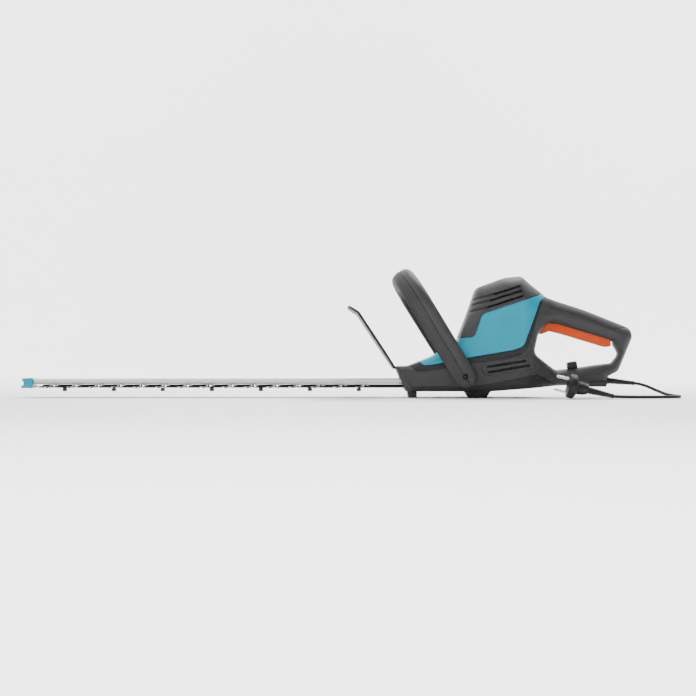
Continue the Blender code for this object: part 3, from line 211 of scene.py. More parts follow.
# ---- Cord, strain relief and plug ------------------------------------------------------------------------
CORD_DIAMETER = 4.6
SLEEVE_START = (414.2, 0, 24.4)
SLEEVE_END = (455.0, 0, 20.4)
CORD_ROUTE = [
    (455.3, 0, 20.37), (462, 0, 19.4), (470, -0.2, 17.2), (478, -1.0, 14.0), (486, -2.8, 10.3),
    (494, -6.2, 6.8),
    (501, -11.2, 4.2), (507, -18, 2.9), (511, -26.5, 2.5), (512.5, -36, 2.5), (511, -45.5, 2.5),
    (506.5, -54, 2.5), (499.5, -61, 2.5), (490, -66, 2.5), (479, -69, 2.5), (466, -70.6, 2.5),
    (452, -71.3, 2.5), (438, -71.6, 2.6), (424, -71.8, 2.9), (411, -71.9, 3.4),
]
PLUG_TILT = 13.3  # degrees: the plug lies on its flange and on the end of its relief
PLUG_RELIEF = 40.0
PLUG_BODY = 16.0
PLUG_FLANGE_RADIUS = 17.3
PLUG_FLANGE = 11.0
PIN_LENGTH = 19.0
PIN_SPACING = 19.0
PIN_RADIUS = 2.0


# ---- Flat outlines -----------------------------------------------------------------------------------------


def offset_corners(corners, distance):
    """The outline moved by a distance to its left, with its fillets still round the same centres."""
    count = len(corners)
    moved = []
    for i, (x, z, radius) in enumerate(corners):
        here = Vector((x, z))
        into = (here - Vector(corners[i - 1][:2])).normalized()
        out = (Vector(corners[(i + 1) % count][:2]) - here).normalized()
        left_in = Vector((-into.y, into.x))
        left_out = Vector((-out.y, out.x))
        share = 1 + left_in.dot(left_out)
        point = here + (left_in + left_out) * distance / share
        turn = into.x * out.y - into.y * out.x
        radius = max(0, radius - distance * (1 if turn > 0 else -1)) if radius else 0
        moved.append((point.x, point.y, radius))
    return moved


def outline(corners, step=1000.0):
    """Points of a closed outline: straight runs, split into steps, joined by the corners' fillets."""
    points = []
    count = len(corners)
    for i, (x, z, radius) in enumerate(corners):
        here = Vector((x, z))
        before = Vector(corners[i - 1][:2]) - here
        after = Vector(corners[(i + 1) % count][:2]) - here
        half = before.angle(after) / 2
        reach = min(radius / math.tan(half), 0.48 * before.length, 0.48 * after.length)
        if reach < 0.05 or math.degrees(math.pi - 2 * half) < 1:
            points.append((x, z))
            continue
        radius = reach * math.tan(half)
        centre = here + (before.normalized() + after.normalized()).normalized() * radius / math.sin(half)
        spoke = here + before.normalized() * reach - centre
        sweep = math.copysign(math.pi - 2 * half, before.x * after.y - before.y * after.x)
        pieces = max(1, math.ceil(math.degrees(abs(sweep)) / ARC_DEGREES))
        for k in range(pieces + 1):
            points.append(tuple(centre + Matrix.Rotation(-sweep * k / pieces, 2) @ spoke))
    divided = []
    for a, b in zip(points, points[1:] + points[:1]):
        pieces = max(1, math.ceil(math.dist(a, b) / step))
        for k in range(pieces):
            divided.append((a[0] + (b[0] - a[0]) * k / pieces, a[1] + (b[1] - a[1]) * k / pieces))
    return divided


def circle(centre, radius, sides=16):
    turns = [2 * math.pi * k / sides for k in range(sides)]
    return [(centre[0] + radius * math.cos(t), centre[1] + radius * math.sin(t)) for t in turns]


def stadium(start, end, radius, sides=2):
    """Outline of a slot with round ends."""
    along = math.atan2(end[1] - start[1], end[0] - start[0])
    points = []
    for centre, first in ((end, along - math.pi / 2), (start, along + math.pi / 2)):
        for k in range(sides + 1):
            t = first + math.pi * k / sides
            points.append((centre[0] + radius * math.cos(t), centre[1] + radius * math.sin(t)))
    return points


def distances(points, loops):
    """Distance from each point to the nearest side of the loops."""
    points = np.asarray(points, float)
    nearest = np.full(len(points), np.inf)
    for loop in loops:
        start = np.array(loop)
        side = np.roll(start, -1, axis=0) - start
        to_point = points[:, None] - start[None]
        share = (to_point * side).sum(axis=2) / np.maximum((side * side).sum(axis=1), 1e-9)
        foot = to_point - np.clip(share, 0, 1)[..., None] * side
        nearest = np.minimum(nearest, np.sqrt((foot * foot).sum(axis=2)).min(axis=1))
    return nearest


def inside(points, loops):
    """Whether each point is inside the loops, by the even-odd rule."""
    points = np.asarray(points, float)
    crossings = np.zeros(len(points), int)
    for loop in loops:
        start = np.array(loop)
        end = np.roll(start, -1, axis=0)
        low, high = start[:, 1] > points[:, None, 1], end[:, 1] > points[:, None, 1]
        rise = np.where(end[:, 1] == start[:, 1], 1e-12, end[:, 1] - start[:, 1])
        across = start[:, 0] + (points[:, None, 1] - start[:, 1]) * (end[:, 0] - start[:, 0]) / rise
        crossings += ((low != high) & (points[:, None, 0] < across)).sum(axis=1)
    return crossings % 2 == 1


def triangulate(loops, extra=()):
    """(points, triangles) of the area inside the loops; each loop's own points come first, in order."""
    points = [p for loop in loops for p in loop]
    edges = []
    first = 0
    for loop in loops:
        edges += [(first + k, first + (k + 1) % len(loop)) for k in range(len(loop))]
        first += len(loop)
    points += list(extra)
    found, _, faces, origins, _, _ = delaunay_2d_cdt([Vector(p) for p in points], edges, [], 1, 1e-7)
    if len(found) != len(points):
        raise ValueError("an outline crosses or touches itself")
    index = [group[0] for group in origins]
    triangles = np.array([[index[v] for v in face] for face in faces])
    middles = np.array(points)[triangles].mean(axis=1)
    return points, triangles[inside(middles, loops)].tolist()


# ---- Solids ----------------------------------------------------------------------------------------------


def add_object(name, vertices, faces):
    """An object from points in millimetres, with its faces turned outwards."""
    mesh = bpy.data.meshes.new(name)
    mesh.from_pydata([tuple(c * MM for c in v) for v in vertices], [], faces)
    bm = bmesh.new()
    bm.from_mesh(mesh)
    bmesh.ops.recalc_face_normals(bm, faces=bm.faces)
    bm.to_mesh(mesh)
    bm.free()
    obj = bpy.data.objects.new(name, mesh)
    bpy.context.collection.objects.link(obj)
    return obj


def closed_between(loops, points, triangles, low, high):
    """Vertices and faces of the solid between two layers of one flat triangulation."""
    count = len(points)
    faces = [tuple(count + v for v in face) for face in triangles]
    faces += [tuple(reversed(face)) for face in triangles]
    first = 0
    for loop in loops:
        for k in range(len(loop)):
            a, b = first + k, first + (k + 1) % len(loop)
            faces.append((a, b, count + b, count + a))
        first += len(loop)
    return low + high, faces


def plate(name, loops, low, high, plane="XY"):
    """A flat solid: loops (the outer one and any holes) between two levels along the plane's normal."""
    points, triangles = triangulate(loops)
    if plane == "XY":
        layers = [[(x, y, level) for x, y in points] for level in (low, high)]
    else:
        layers = [[(x, level, z) for x, z in points] for level in (low, high)]
    return add_object(name, *closed_between(loops, points, triangles, *layers))


def side_plate(name, corners, low, high):
    return plate(name, [outline(corners)], low, high, "XZ")


def smooth_step(low, high, value):
    t = np.clip((value - low) / (high - low), 0, 1)
    return t * t * (3 - 2 * t)


def half_width(x):
    """Half width of the body at x, eased from one station to the next."""
    width = np.full(len(x), HALF_WIDTHS[0][1])
    for (x0, w0), (x1, w1) in zip(HALF_WIDTHS, HALF_WIDTHS[1:]):
        width += (w1 - w0) * smooth_step(x0, x1, x)
    return width


def edge_radius(x, z):
    dome = smooth_step(75, 135, z) * (1 - smooth_step(295, 330, x))
    handle = smooth_step(305, 345, x)
    return EDGE_RADIUS + (DOME_RADIUS - EDGE_RADIUS) * dome + (HALF_WIDTHS[-1][1] - EDGE_RADIUS) * handle


def turned(name, profile, sides=20, centre=(0, 0)):
    """A solid turned about a vertical axis: profile points (radius, z), from the axis back to the axis or
    round a closed ring."""
    vertices, rows = [], []
    for radius, z in profile:
        row = [len(vertices) + (k if radius else 0) for k in range(sides)]
        rows.append(row)
        for px, py in circle(centre, radius, sides) if radius else [centre]:
            vertices.append((px, py, z))
    pairs = list(zip(rows, rows[1:])) + ([] if profile[0][0] == 0 else [(rows[-1], rows[0])])
    faces = []
    for row, after in pairs:
        for k in range(sides):
            corners = (row[k - 1], row[k], after[k], after[k - 1])
            face = tuple(dict.fromkeys(corners))
            if len(face) > 2:
                faces.append(face)
    return add_object(name, vertices, faces)


def pin_along_y(name, radius, low, high, centre, sides=16):
    return plate(name, [circle(centre, radius, sides)], low, high, "XZ")


def box(name, low, high):
    corners = [(low[0], low[1]), (high[0], low[1]), (high[0], high[1]), (low[0], high[1])]
    return plate(name, [corners], low[2], high[2])


def swept(name, stations):
    """A closed solid through rings of equally many points."""
    count = len(stations[0])
    vertices = [p for ring in stations for p in ring]
    faces = [tuple(range(count)), tuple(range(len(vertices) - count, len(vertices)))]
    for s in range(len(stations) - 1):
        for k in range(count):
            a, b = s * count + k, s * count + (k + 1) % count
            faces.append((a, b, b + count, a + count))
    return add_object(name, vertices, faces)


def carve(obj, tool, operation="DIFFERENCE"):
    """Cuts, joins or intersects an object with a tool, and takes the tool away."""
    modifier = obj.modifiers.new(operation, "BOOLEAN")
    modifier.operation = operation
    modifier.solver = "MANIFOLD"
    modifier.object = tool
    graph = bpy.context.evaluated_depsgraph_get()
    mesh = bpy.data.meshes.new_from_object(obj.evaluated_get(graph))
    obj.modifiers.clear()
    obj.data = mesh
    bpy.data.objects.remove(tool)
    return obj


def surface_y(x, z):
    """Half width of the body's outer surface at one place of its side view."""
    loops = [outline(BODY, 12.0), outline(GRIP_OPENING, 12.0)]
    depth = float(distances([(x, z)], loops)[0])
    width = float(half_width(np.array([x]))[0])
    radius = min(float(edge_radius(x, z)), width - 0.7)
    return width - radius + math.sqrt(radius**2 - max(radius - depth, 0) ** 2)


def screw_y(x, z):
    """How far out a case screw's head reaches."""
    return min(surface_y(*rim) for rim in circle((x, z), BOSS_RADIUS, 8)) - 1.6


def line_points(corners, step):
    """An open line through corners with fillets, from its first point to its last."""
    closed = outline(corners + [(corners[-1][0] + 500, corners[-1][1] + 900, 0)], step)
    ends = [math.dist(point, corners[-1][:2]) for point in closed]
    return closed[: ends.index(min(ends)) + 1]

# ---- Front loop handle ------------------------------------------------------------------------------------

LOOP_UP = (Vector((LOOP_TOP[0], 0, LOOP_TOP[1])) - Vector((PIVOT[0], 0, PIVOT[1]))).normalized()
LOOP_NORMAL = Vector((LOOP_UP.z, 0, -LOOP_UP.x))  # out of the loop's plane, towards the rear
LOOP_HEIGHT = math.dist(PIVOT, LOOP_TOP)


def loop_point(y, up, out):
    """A point by its place in the loop's plane: across, up from the pivot, and out of the plane."""
    return tuple(Vector((PIVOT[0], y, PIVOT[1])) + LOOP_UP * up + LOOP_NORMAL * out)


def loop_block(name, corners, depth):
    """A block with its outline in the loop's plane, equally deep on both sides of it."""
    stations = [[loop_point(y, up, out) for y, up in corners] for out in (-depth, depth)]
    return swept(name, stations)


def bolt_places():
    return [FIRST_BOLT_X + BOLT_PITCH * k for k in range(BOLT_COUNT)]


def tooth_places():
    return [FIRST_TOOTH_X + TOOTH_PITCH * k for k in range(TOOTH_COUNT)]


def along_axis(name, profile, start, direction, sides=16):
    """A turned piece whose axis starts at a point and runs in a direction."""
    piece = turned(name, profile, sides)
    turn = Vector((0, 0, 1)).rotation_difference(Vector(direction).normalized()).to_matrix().to_4x4()
    piece.data.transform(Matrix.Translation(Vector(start) * MM) @ turn)
    return piece


def smooth_route(points, count):
    """Points of a smooth curve through the route's own points."""
    route = [Vector(p) for p in points]
    ends = [2 * route[0] - route[1]] + route + [2 * route[-1] - route[-2]]
    found = []
    for k in range(count):
        t = k / (count - 1) * (len(route) - 1)
        i = min(int(t), len(route) - 2)
        a, b, c, d = ends[i : i + 4]
        t -= i
        cubic = (3 * b - a - 3 * c + d) * t**3
        found.append(0.5 * (2 * b + (c - a) * t + (2 * a - 5 * b + 4 * c - d) * t**2 + cubic))
    return found


def region(corners, grow=0.0):
    """A region of the side view, through the whole width of the body. Regions run anticlockwise."""
    return side_plate("region", offset_corners(corners, -grow), -FAR, FAR)


def rounded(obj, width, segments=3):
    """Rounds an object's sharp edges and keeps it a plain mesh."""
    bm = bmesh.new()
    bm.from_mesh(obj.data)
    bmesh.ops.dissolve_limit(bm, angle_limit=math.radians(1), verts=bm.verts, edges=bm.edges)
    bm.to_mesh(obj.data)
    bm.free()
    bevel = obj.modifiers.new("rounding", "BEVEL")
    bevel.width = width * MM
    bevel.segments = segments
    bevel.limit_method = "ANGLE"
    bevel.angle_limit = math.radians(35)
    return plain(obj)


def plain(obj):
    """Turns an object's modifiers into its own mesh."""
    graph = bpy.context.evaluated_depsgraph_get()
    mesh = bpy.data.meshes.new_from_object(obj.evaluated_get(graph))
    obj.modifiers.clear()
    obj.data = mesh
    return obj


def twin(obj, name):
    other = bpy.data.objects.new(name, obj.data.copy())
    bpy.context.collection.objects.link(other)
    return other


def place(obj, finish_name, body="body", nodes=(), smooth_below=32):
    """Gives a piece its finish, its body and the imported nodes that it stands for."""
    obj.data.materials.clear()
    obj.data.materials.append(finish_of(finish_name))
    obj.data.shade_smooth()
    obj.data.set_sharp_from_angle(angle=math.radians(smooth_below))
    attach(obj, body)
    if nodes:
        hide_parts(*nodes)
    return obj


# ---- Body surface ----------------------------------------------------------------------------------------

FAR = 70.0  # beyond the body on either side
INNER_STEP = 24.0  # spacing of points on hidden inner faces
REGIONS = (COLLAR_REGION, COVER_REGION, HOOD_REGION, GRIP_REGION)
# Sunken band of the case round the hood, closed off beneath the hood.
BAND = [
    (118.4, 45.9, 0), (125.8, 40, 4), (134.7, 37, 8), (145, 37.7, 8), (167.2, 41.4, 0), (211.6, 48.8, 0),
    (256, 55.5, 0), (285.6, 62.2, 8), (292, 70, 10), (300.4, 93.2, 0), (310.8, 130.2, 0), (316, 140, 0),
    (306, 143, 0), (232, 112, 0), (221, 80, 0), (188, 70, 0), (150, 56, 0),
]
VENT_PANEL = [(226, 30, 9), (303, 41.5, 8), (299, 62.5, 8), (224.5, 52, 10)]
LOUVRE_FRONTS = [(213, 141.5), (209, 133), (206, 123.5)]  # where the dome's grooves run out
RIM_HEIGHT = 0.8  # of the ridge round the side vents
PANEL_DEPTH = 0.9
LOUVRE_DEPTH = 2.3


def seam_relief(points):
    """Depth of the rounded edges along the seams between mouldings."""
    sizes = bpy.context.scene.trimmer_sizes
    loops = [outline(corners, 12.0) for corners in REGIONS]
    away = distances(points, loops)
    return sizes.seam_depth * 1000 * (1 - smooth_step(0, sizes.seam_width * 1000, away))


def case_relief(points):
    """Depth of everything sunk into the case: seams, the band, the vent panel and the dome's grooves."""
    sizes = bpy.context.scene.trimmer_sizes
    depth = seam_relief(points)
    for corners, sunk in ((BAND, sizes.band_depth * 1000), (VENT_PANEL, PANEL_DEPTH)):
        loop = outline(corners, 12.0)
        reach = distances(points, [loop])
        depth += sunk * smooth_step(0, 1.6, np.where(inside(points, [loop]), reach, 0))
    panel = outline(VENT_PANEL, 12.0)
    ridge = distances(points, [panel])
    depth -= RIM_HEIGHT * (1 - smooth_step(0.3, 1.9, ridge))
    for (front, _), end in zip(DOME_VENTS, LOUVRE_FRONTS):
        groove = distances(points, [[front, end]])
        depth += LOUVRE_DEPTH * (1 - smooth_step(0.7, 2.1, groove))
    return depth


def seam_points(spacing):
    """Extra points beside the seams and ridges, so that their rounding is smooth."""
    found = []
    for corners in REGIONS + (BAND, VENT_PANEL):
        for away in (-1.5, -0.6, 0.6, 1.5):
            found += outline(offset_corners(corners, away), spacing)
    for (front, _), end in zip(DOME_VENTS, LOUVRE_FRONTS):
        for away in (0.4, 1.3, 2.2):
            found += outline([(*p, 0) for p in stadium(end, front, away, 6)], spacing)
    return np.array(found)


def thinned(points, least):
    """The points left when none may be nearer to an earlier one than the least distance."""
    kept, cells = [], {}
    for x, z in points:
        cell = (int(x // least), int(z // least))
        near = [p for i in (-1, 0, 1) for j in (-1, 0, 1) for p in cells.get((cell[0] + i, cell[1] + j), ())]
        if all(math.dist((x, z), p) >= least for p in near):
            kept.append((float(x), float(z)))
            cells.setdefault(cell, []).append(kept[-1])
    return kept


def body_solid(name, inset, spacing=INNER_STEP, ring_shares=(0.3,), relief=None):
    """The body with its grip opening, at a depth below its outer surface. Its edges are rounded by their
    distance from the outline, and a relief sinks its sides."""
    loops = [outline(offset_corners(corners, inset), spacing) for corners in (BODY, GRIP_OPENING)]
    extra = []
    for loop in loops:
        ring = np.array(loop)
        along = np.roll(ring, -1, axis=0) - np.roll(ring, 1, axis=0)
        left = np.stack([-along[:, 1], along[:, 0]], axis=1) / np.linalg.norm(along, axis=1)[:, None]
        for share in ring_shares:
            depth = share * np.maximum(edge_radius(ring[:, 0], ring[:, 1]) - inset, 3)
            moved = ring + left * depth[:, None]
            extra.append(moved[distances(moved, loops) > 0.93 * depth])
    if relief:
        beside = seam_points(spacing)
        extra.insert(0, beside[distances(beside, loops) > 0.3])
    low, high = np.array(loops[0]).min(axis=0), np.array(loops[0]).max(axis=0)
    grid = np.array([
        (x + (row % 2) * spacing / 2, z)
        for row, z in enumerate(np.arange(low[1], high[1], spacing * 0.87))
        for x in np.arange(low[0], high[0], spacing)
    ])
    extra = np.concatenate(extra + [grid[distances(grid, loops) > spacing * 0.4]])
    kept = thinned(extra[inside(extra, loops)], min(0.25 * spacing, 5.0))
    points, triangles = triangulate(loops, kept)
    x, z = np.array(points).T
    depth = distances(points, loops)
    depth[: sum(map(len, loops))] = 0
    width = half_width(x) - inset
    radius = np.clip(edge_radius(x, z) - inset, 1.0, width - 0.7)
    y = width - radius + np.sqrt(np.maximum(radius**2 - np.maximum(radius - depth, 0) ** 2, 0))
    if relief:
        y -= relief(points) * smooth_step(0, 1.5, depth)
    layers = [[(px, side * py, pz) for px, py, pz in zip(x, y, z)] for side in (-1, 1)]
    return add_object(name, *closed_between(loops, points, triangles, *layers))


EDGE_SHARES = (0.03, 0.09, 0.18, 0.3, 0.45, 0.62, 0.82)


def fine_body(name, relief):
    spacing = bpy.context.scene.trimmer_sizes.surface_step * 1000
    return body_solid(name, 0, spacing * (1), EDGE_SHARES, relief)


# ---- Finishes ----------------------------------------------------------------------------------------------


class Channel:
    """A shader socket that can be used in sums."""

    def __init__(self, work, socket):
        self.work = work
        self.socket = socket

    def sum_of(self, operation, first, second):
        return self.work.node("ShaderNodeMath", {"operation": operation}, {0: first, 1: second})

    def __add__(self, other):
        return self.sum_of("ADD", self, other)

    def __radd__(self, other):
        return self.sum_of("ADD", other, self)

    def __sub__(self, other):
        return self.sum_of("SUBTRACT", self, other)

    def __rsub__(self, other):
        return self.sum_of("SUBTRACT", other, self)

    def __mul__(self, other):
        return self.sum_of("MULTIPLY", self, other)

    def __rmul__(self, other):
        return self.sum_of("MULTIPLY", other, self)


class Finish:
    """A material under construction."""

    def __init__(self, name):
        self.material = bpy.data.materials.new(f"{name}_finish")
        self.material.use_nodes = True
        self.tree = self.material.node_tree
        self.shader = self.tree.nodes["Principled BSDF"]

    def feed(self, socket, value):
        if isinstance(value, Channel):
            self.tree.links.new(value.socket, socket)
        else:
            socket.default_value = value

    def node(self, kind, settings=None, values=None, output=0):
        """Any node: its settings first, then the values or links of its sockets."""
        made = self.tree.nodes.new(kind)
        for key, value in (settings or {}).items():
            setattr(made, key, value)
        for key, value in (values or {}).items():
            self.feed(made.inputs[key], value)
        return Channel(self, made.outputs[output])

    def noise(self, scale, detail=3.0, stretch=(1, 1, 1), rough=0.5):
        """Noise from 0 to 1 with so many features to the metre."""
        where = self.node("ShaderNodeTexCoord", output="Object")
        where = self.node("ShaderNodeMapping", values={"Vector": where, "Scale": stretch})
        return self.node("ShaderNodeTexNoise", values={
            "Vector": where, "Scale": scale, "Detail": detail, "Roughness": rough})

    def pits(self, scale):
        """Distance to the nearest of many scattered points, for a moulded texture."""
        where = self.node("ShaderNodeTexCoord", output="Object")
        return self.node("ShaderNodeTexVoronoi", values={"Vector": where, "Scale": scale})

    def between(self, value, low, high):
        """0 below the low value and 1 above the high one."""
        values = {0: value, 1: low, 2: high}
        return self.node("ShaderNodeMapRange", {"interpolation_type": "SMOOTHSTEP"}, values)

    def place_along(self, axis):
        """The piece's own x, y or z in metres."""
        where = self.node("ShaderNodeTexCoord", output="Object")
        return self.node("ShaderNodeSeparateXYZ", values={0: where}, output=axis)

    def mixed(self, share, first, second):
        return self.node("ShaderNodeMix", {"data_type": "RGBA"}, {0: share, 6: first, 7: second}, 2)

    def bump(self, height, distance, strength=1.0):
        self.feed(self.shader.inputs["Normal"], self.node("ShaderNodeBump", values={
            "Height": height, "Distance": distance, "Strength": strength}))


def tinted(colour, share):
    return tuple(min(1.0, c * share) for c in colour) + (1,)


def plastic(name, colour, roughness, grain, pattern=1500.0, dimples=0.0, ribs=None):
    """Moulded plastic or rubber: colour drift, fine grain, faint scuffs, and any dimples or ribs."""
    work = Finish(name)
    drift = work.noise(35.0)
    fine = work.noise(pattern, 2.0)
    scuffs = work.between(work.noise(190.0, 5.0, (1, 1, 5), 0.62), 0.63, 0.74)
    dust = work.between(work.noise(900.0, 2.0), 0.66, 0.78)
    base = work.mixed(drift, tinted(colour, 0.9), tinted(colour, 1.1))
    paler = tuple(min(1.0, c * 1.3 + 0.035) for c in colour) + (1,)
    base = work.mixed(scuffs * 0.16 + dust * 0.12, base, paler)
    work.feed(work.shader.inputs["Base Color"], base)
    work.feed(work.shader.inputs["Roughness"], roughness - 0.05 + drift * 0.08 + scuffs * 0.12 + fine * 0.04)
    work.shader.inputs["Specular IOR Level"].default_value = 0.26
    height = fine * grain + scuffs * 0.1
    if dimples:
        height = height + work.between(work.pits(dimples), 0.1, 0.55) * 0.7
    if ribs:
        axis, start, end, count = ribs
        along = work.place_along(axis)
        wave = work.node("ShaderNodeMath", {"operation": "SINE"}, {0: along * count * 2 * math.pi})
        inner = work.between(along, start, start + 0.002) - work.between(along, end - 0.002, end)
        height = height + wave * inner * 2.0
    work.bump(height, 0.00022)
    return work.material


def metal(name, colour, roughness, stretch, stain=0.25, dark=(0.05, 0.045, 0.04)):
    """Ground, drawn or turned metal: lines along the tool's path, and a little old oil."""
    work = Finish(name)
    lines = work.noise(9.0, 4.0, stretch, 0.6)
    clouds = work.noise(55.0, 4.0)
    marks = work.between(clouds, 0.55, 0.8)
    spots = work.between(work.noise(420.0, 3.0), 0.7, 0.8)
    base = work.mixed(lines, tinted(colour, 0.86), tinted(colour, 1.08))
    base = work.mixed(marks * stain + spots * 0.3, base, dark + (1,))
    work.feed(work.shader.inputs["Base Color"], base)
    work.feed(work.shader.inputs["Roughness"], roughness + lines * 0.12 + marks * 0.15 + spots * 0.2)
    work.feed(work.shader.inputs["Metallic"], 1.0 - marks * 0.25 * stain - spots * 0.25)
    work.bump(lines, 0.00006)
    return work.material


MADE = {}


def finish_of(name):
    """The named finish, made when it is first asked for."""
    if name in MADE:
        return MADE[name]
    colours = bpy.context.scene.trimmer_colours
    along, across, every = (1, 60, 60), (60, 1, 60), (30, 30, 30)
    makers = {
        "graphite": lambda: plastic(name, colours.case, 0.44, 1.0, 2100.0),
        "turquoise": lambda: plastic(name, colours.hood, 0.36, 0.25, 1200.0),
        "orange": lambda: plastic(name, colours.trigger, 0.38, 0.4),
        "soft_grip": lambda: plastic(name, colours.grip, 0.6, 0.5, 1500.0, dimples=900.0),
        "black": lambda: plastic(name, colours.cover, 0.48, 0.9),
        "cover_ribs": lambda: plastic(name, colours.cover, 0.48, 0.9, ribs=(0, 0.300, 0.341, 450.0)),
        "cord_black": lambda: plastic(name, colours.cord, 0.42, 0.5, 2600.0),
        "steel": lambda: metal(name, (0.42, 0.42, 0.43), 0.3, along),
        # near-black steel for the blades' upright edges: painted shade along them
        "edge_shade_steel": lambda: metal(name, (0.03, 0.03, 0.031), 0.42, along, 0.3),
        "black_screw": lambda: metal(name, (0.06, 0.06, 0.062), 0.34, every, 0.1),
        "ground_steel": lambda: metal(name, (0.74, 0.74, 0.75), 0.17, across, 0.08),
        "aluminium": lambda: metal(name, (0.82, 0.83, 0.84), 0.3, along, 0.06),
        "copper": lambda: metal(name, (0.62, 0.25, 0.13), 0.32, every, 0.3),
        "brass": lambda: metal(name, (0.66, 0.46, 0.17), 0.3, every, 0.3),
        "nickel": lambda: metal(name, (0.62, 0.6, 0.56), 0.2, every, 0.1),
    }
    MADE[name] = makers[name]()
    return MADE[name]


# ---- Repeated pieces ---------------------------------------------------------------------------------------


def copies(name, prototype, places=(), count=0, pitch=0.0):
    """Copies of a prototype at given places, or in a row along X, joined into one plain mesh."""
    tree = bpy.data.node_groups.new(name, "GeometryNodeTree")
    inputs = {}
    for label, kind in (("Geometry", "NodeSocketGeometry"), ("Prototype", "NodeSocketObject"),
                        ("Count", "NodeSocketInt"), ("Pitch", "NodeSocketFloat"), ("Size", "NodeSocketFloat"),
                        ("Finish", "NodeSocketMaterial")):
        inputs[label] = tree.interface.new_socket(name=label, in_out="INPUT", socket_type=kind).identifier
    tree.interface.new_socket(name="Geometry", in_out="OUTPUT", socket_type="NodeSocketGeometry")
    given = tree.nodes.new("NodeGroupInput")
    source = tree.nodes.new("GeometryNodeObjectInfo")
    spread = tree.nodes.new("GeometryNodeInstanceOnPoints")
    realized = tree.nodes.new("GeometryNodeRealizeInstances")
    painted = tree.nodes.new("GeometryNodeSetMaterial")
    result = tree.nodes.new("NodeGroupOutput")
    join = tree.links.new
    if count:
        row = tree.nodes.new("GeometryNodeMeshLine")
        offset = tree.nodes.new("ShaderNodeCombineXYZ")
        join(given.outputs["Count"], row.inputs["Count"])
        join(given.outputs["Pitch"], offset.inputs["X"])
        join(offset.outputs[0], row.inputs["Offset"])
        join(row.outputs[0], spread.inputs["Points"])
    else:
        join(given.outputs["Geometry"], spread.inputs["Points"])
    join(given.outputs["Prototype"], source.inputs["Object"])
    join(source.outputs["Geometry"], spread.inputs["Instance"])
    join(given.outputs["Size"], spread.inputs["Scale"])
    join(spread.outputs[0], realized.inputs[0])
    join(realized.outputs[0], painted.inputs[0])
    join(given.outputs["Finish"], painted.inputs["Material"])
    join(painted.outputs[0], result.inputs[0])
    mesh = bpy.data.meshes.new(name)
    mesh.from_pydata([tuple(c * MM for c in p) for p in places] or [(0, 0, 0)], [], [])
    obj = bpy.data.objects.new(name, mesh)
    bpy.context.collection.objects.link(obj)
    modifier = obj.modifiers.new("copies", "NODES")
    modifier.node_group = tree
    values = {
        "Prototype": prototype, "Count": count, "Pitch": pitch * MM, "Size": 1.0,
        "Finish": finish_of("black_screw"),
    }
    for label, value in values.items():
        modifier[inputs[label]] = value
    plain(obj)
    bpy.data.objects.remove(prototype)
    return obj


def screw(name, head, height, shank, length, start, direction):
    """A cross-head screw: its head stands on the start and points along the direction."""
    profile = [
        (0, -length), (shank, -length), (shank, 0), (head, 0), (head, 0.5 * height),
        (0.93 * head, 0.75 * height), (0.75 * head, 0.93 * height), (0.5 * head, height), (0, height),
    ]
    piece = turned(name, profile, 32)
    for wide, deep in ((0.62, 0.15), (0.15, 0.62)):
        low = (-wide * head, -deep * head, 0.45 * height)
        carve(piece, box("cross", low, (wide * head, deep * head, height + 1)))
    turn = Vector((0, 0, 1)).rotation_difference(Vector(direction)).to_matrix().to_4x4()
    piece.data.transform(Matrix.Translation(Vector(start) * MM) @ turn)
    return piece


def ribbed(start, end, radius_start, radius_end, pitch, depth):
    """Profile of a tapered bend relief with a groove in each pitch."""
    points = []
    for k in range(round(abs(end - start) / pitch)):
        for share, sunk in ((0.0, 0), (0.5, 0), (0.58, depth), (0.92, depth)):
            along = start + math.copysign((k + share) * pitch, end - start)
            radius = radius_start + (radius_end - radius_start) * (along - start) / (end - start)
            points.append((radius - sunk, along))
    return points


# ---- Loop handle and guard ---------------------------------------------------------------------------------


def loop_line():
    """The loop's middle line (across, up), from one leg's end over the crossbar to the other."""
    end = -LOOP_DEPTH + 0.25
    corners = [
        (LEG_Y, end, 0), (LEG_Y, FLARE_START, 60), (CROSSBAR_Y, LOOP_HEIGHT, LOOP_CORNER),
        (-CROSSBAR_Y, LOOP_HEIGHT, LOOP_CORNER), (-LEG_Y, FLARE_START, 60), (-LEG_Y, end, 0),
    ]
    line = outline(corners, 5.0)
    ends = [math.dist(point, corners[-1][:2]) for point in line]
    line = line[: ends.index(min(ends)) + 1]
    extra = [-LOOP_DEPTH * math.cos(math.radians(10 * k)) for k in range(1, 10)]
    start = next(k for k, point in enumerate(line) if point[1] > 0)
    return ([line[0]] + [(LEG_Y, up) for up in extra] + line[start : len(line) - start]
            + [(-LEG_Y, up) for up in reversed(extra)] + [line[-1]])


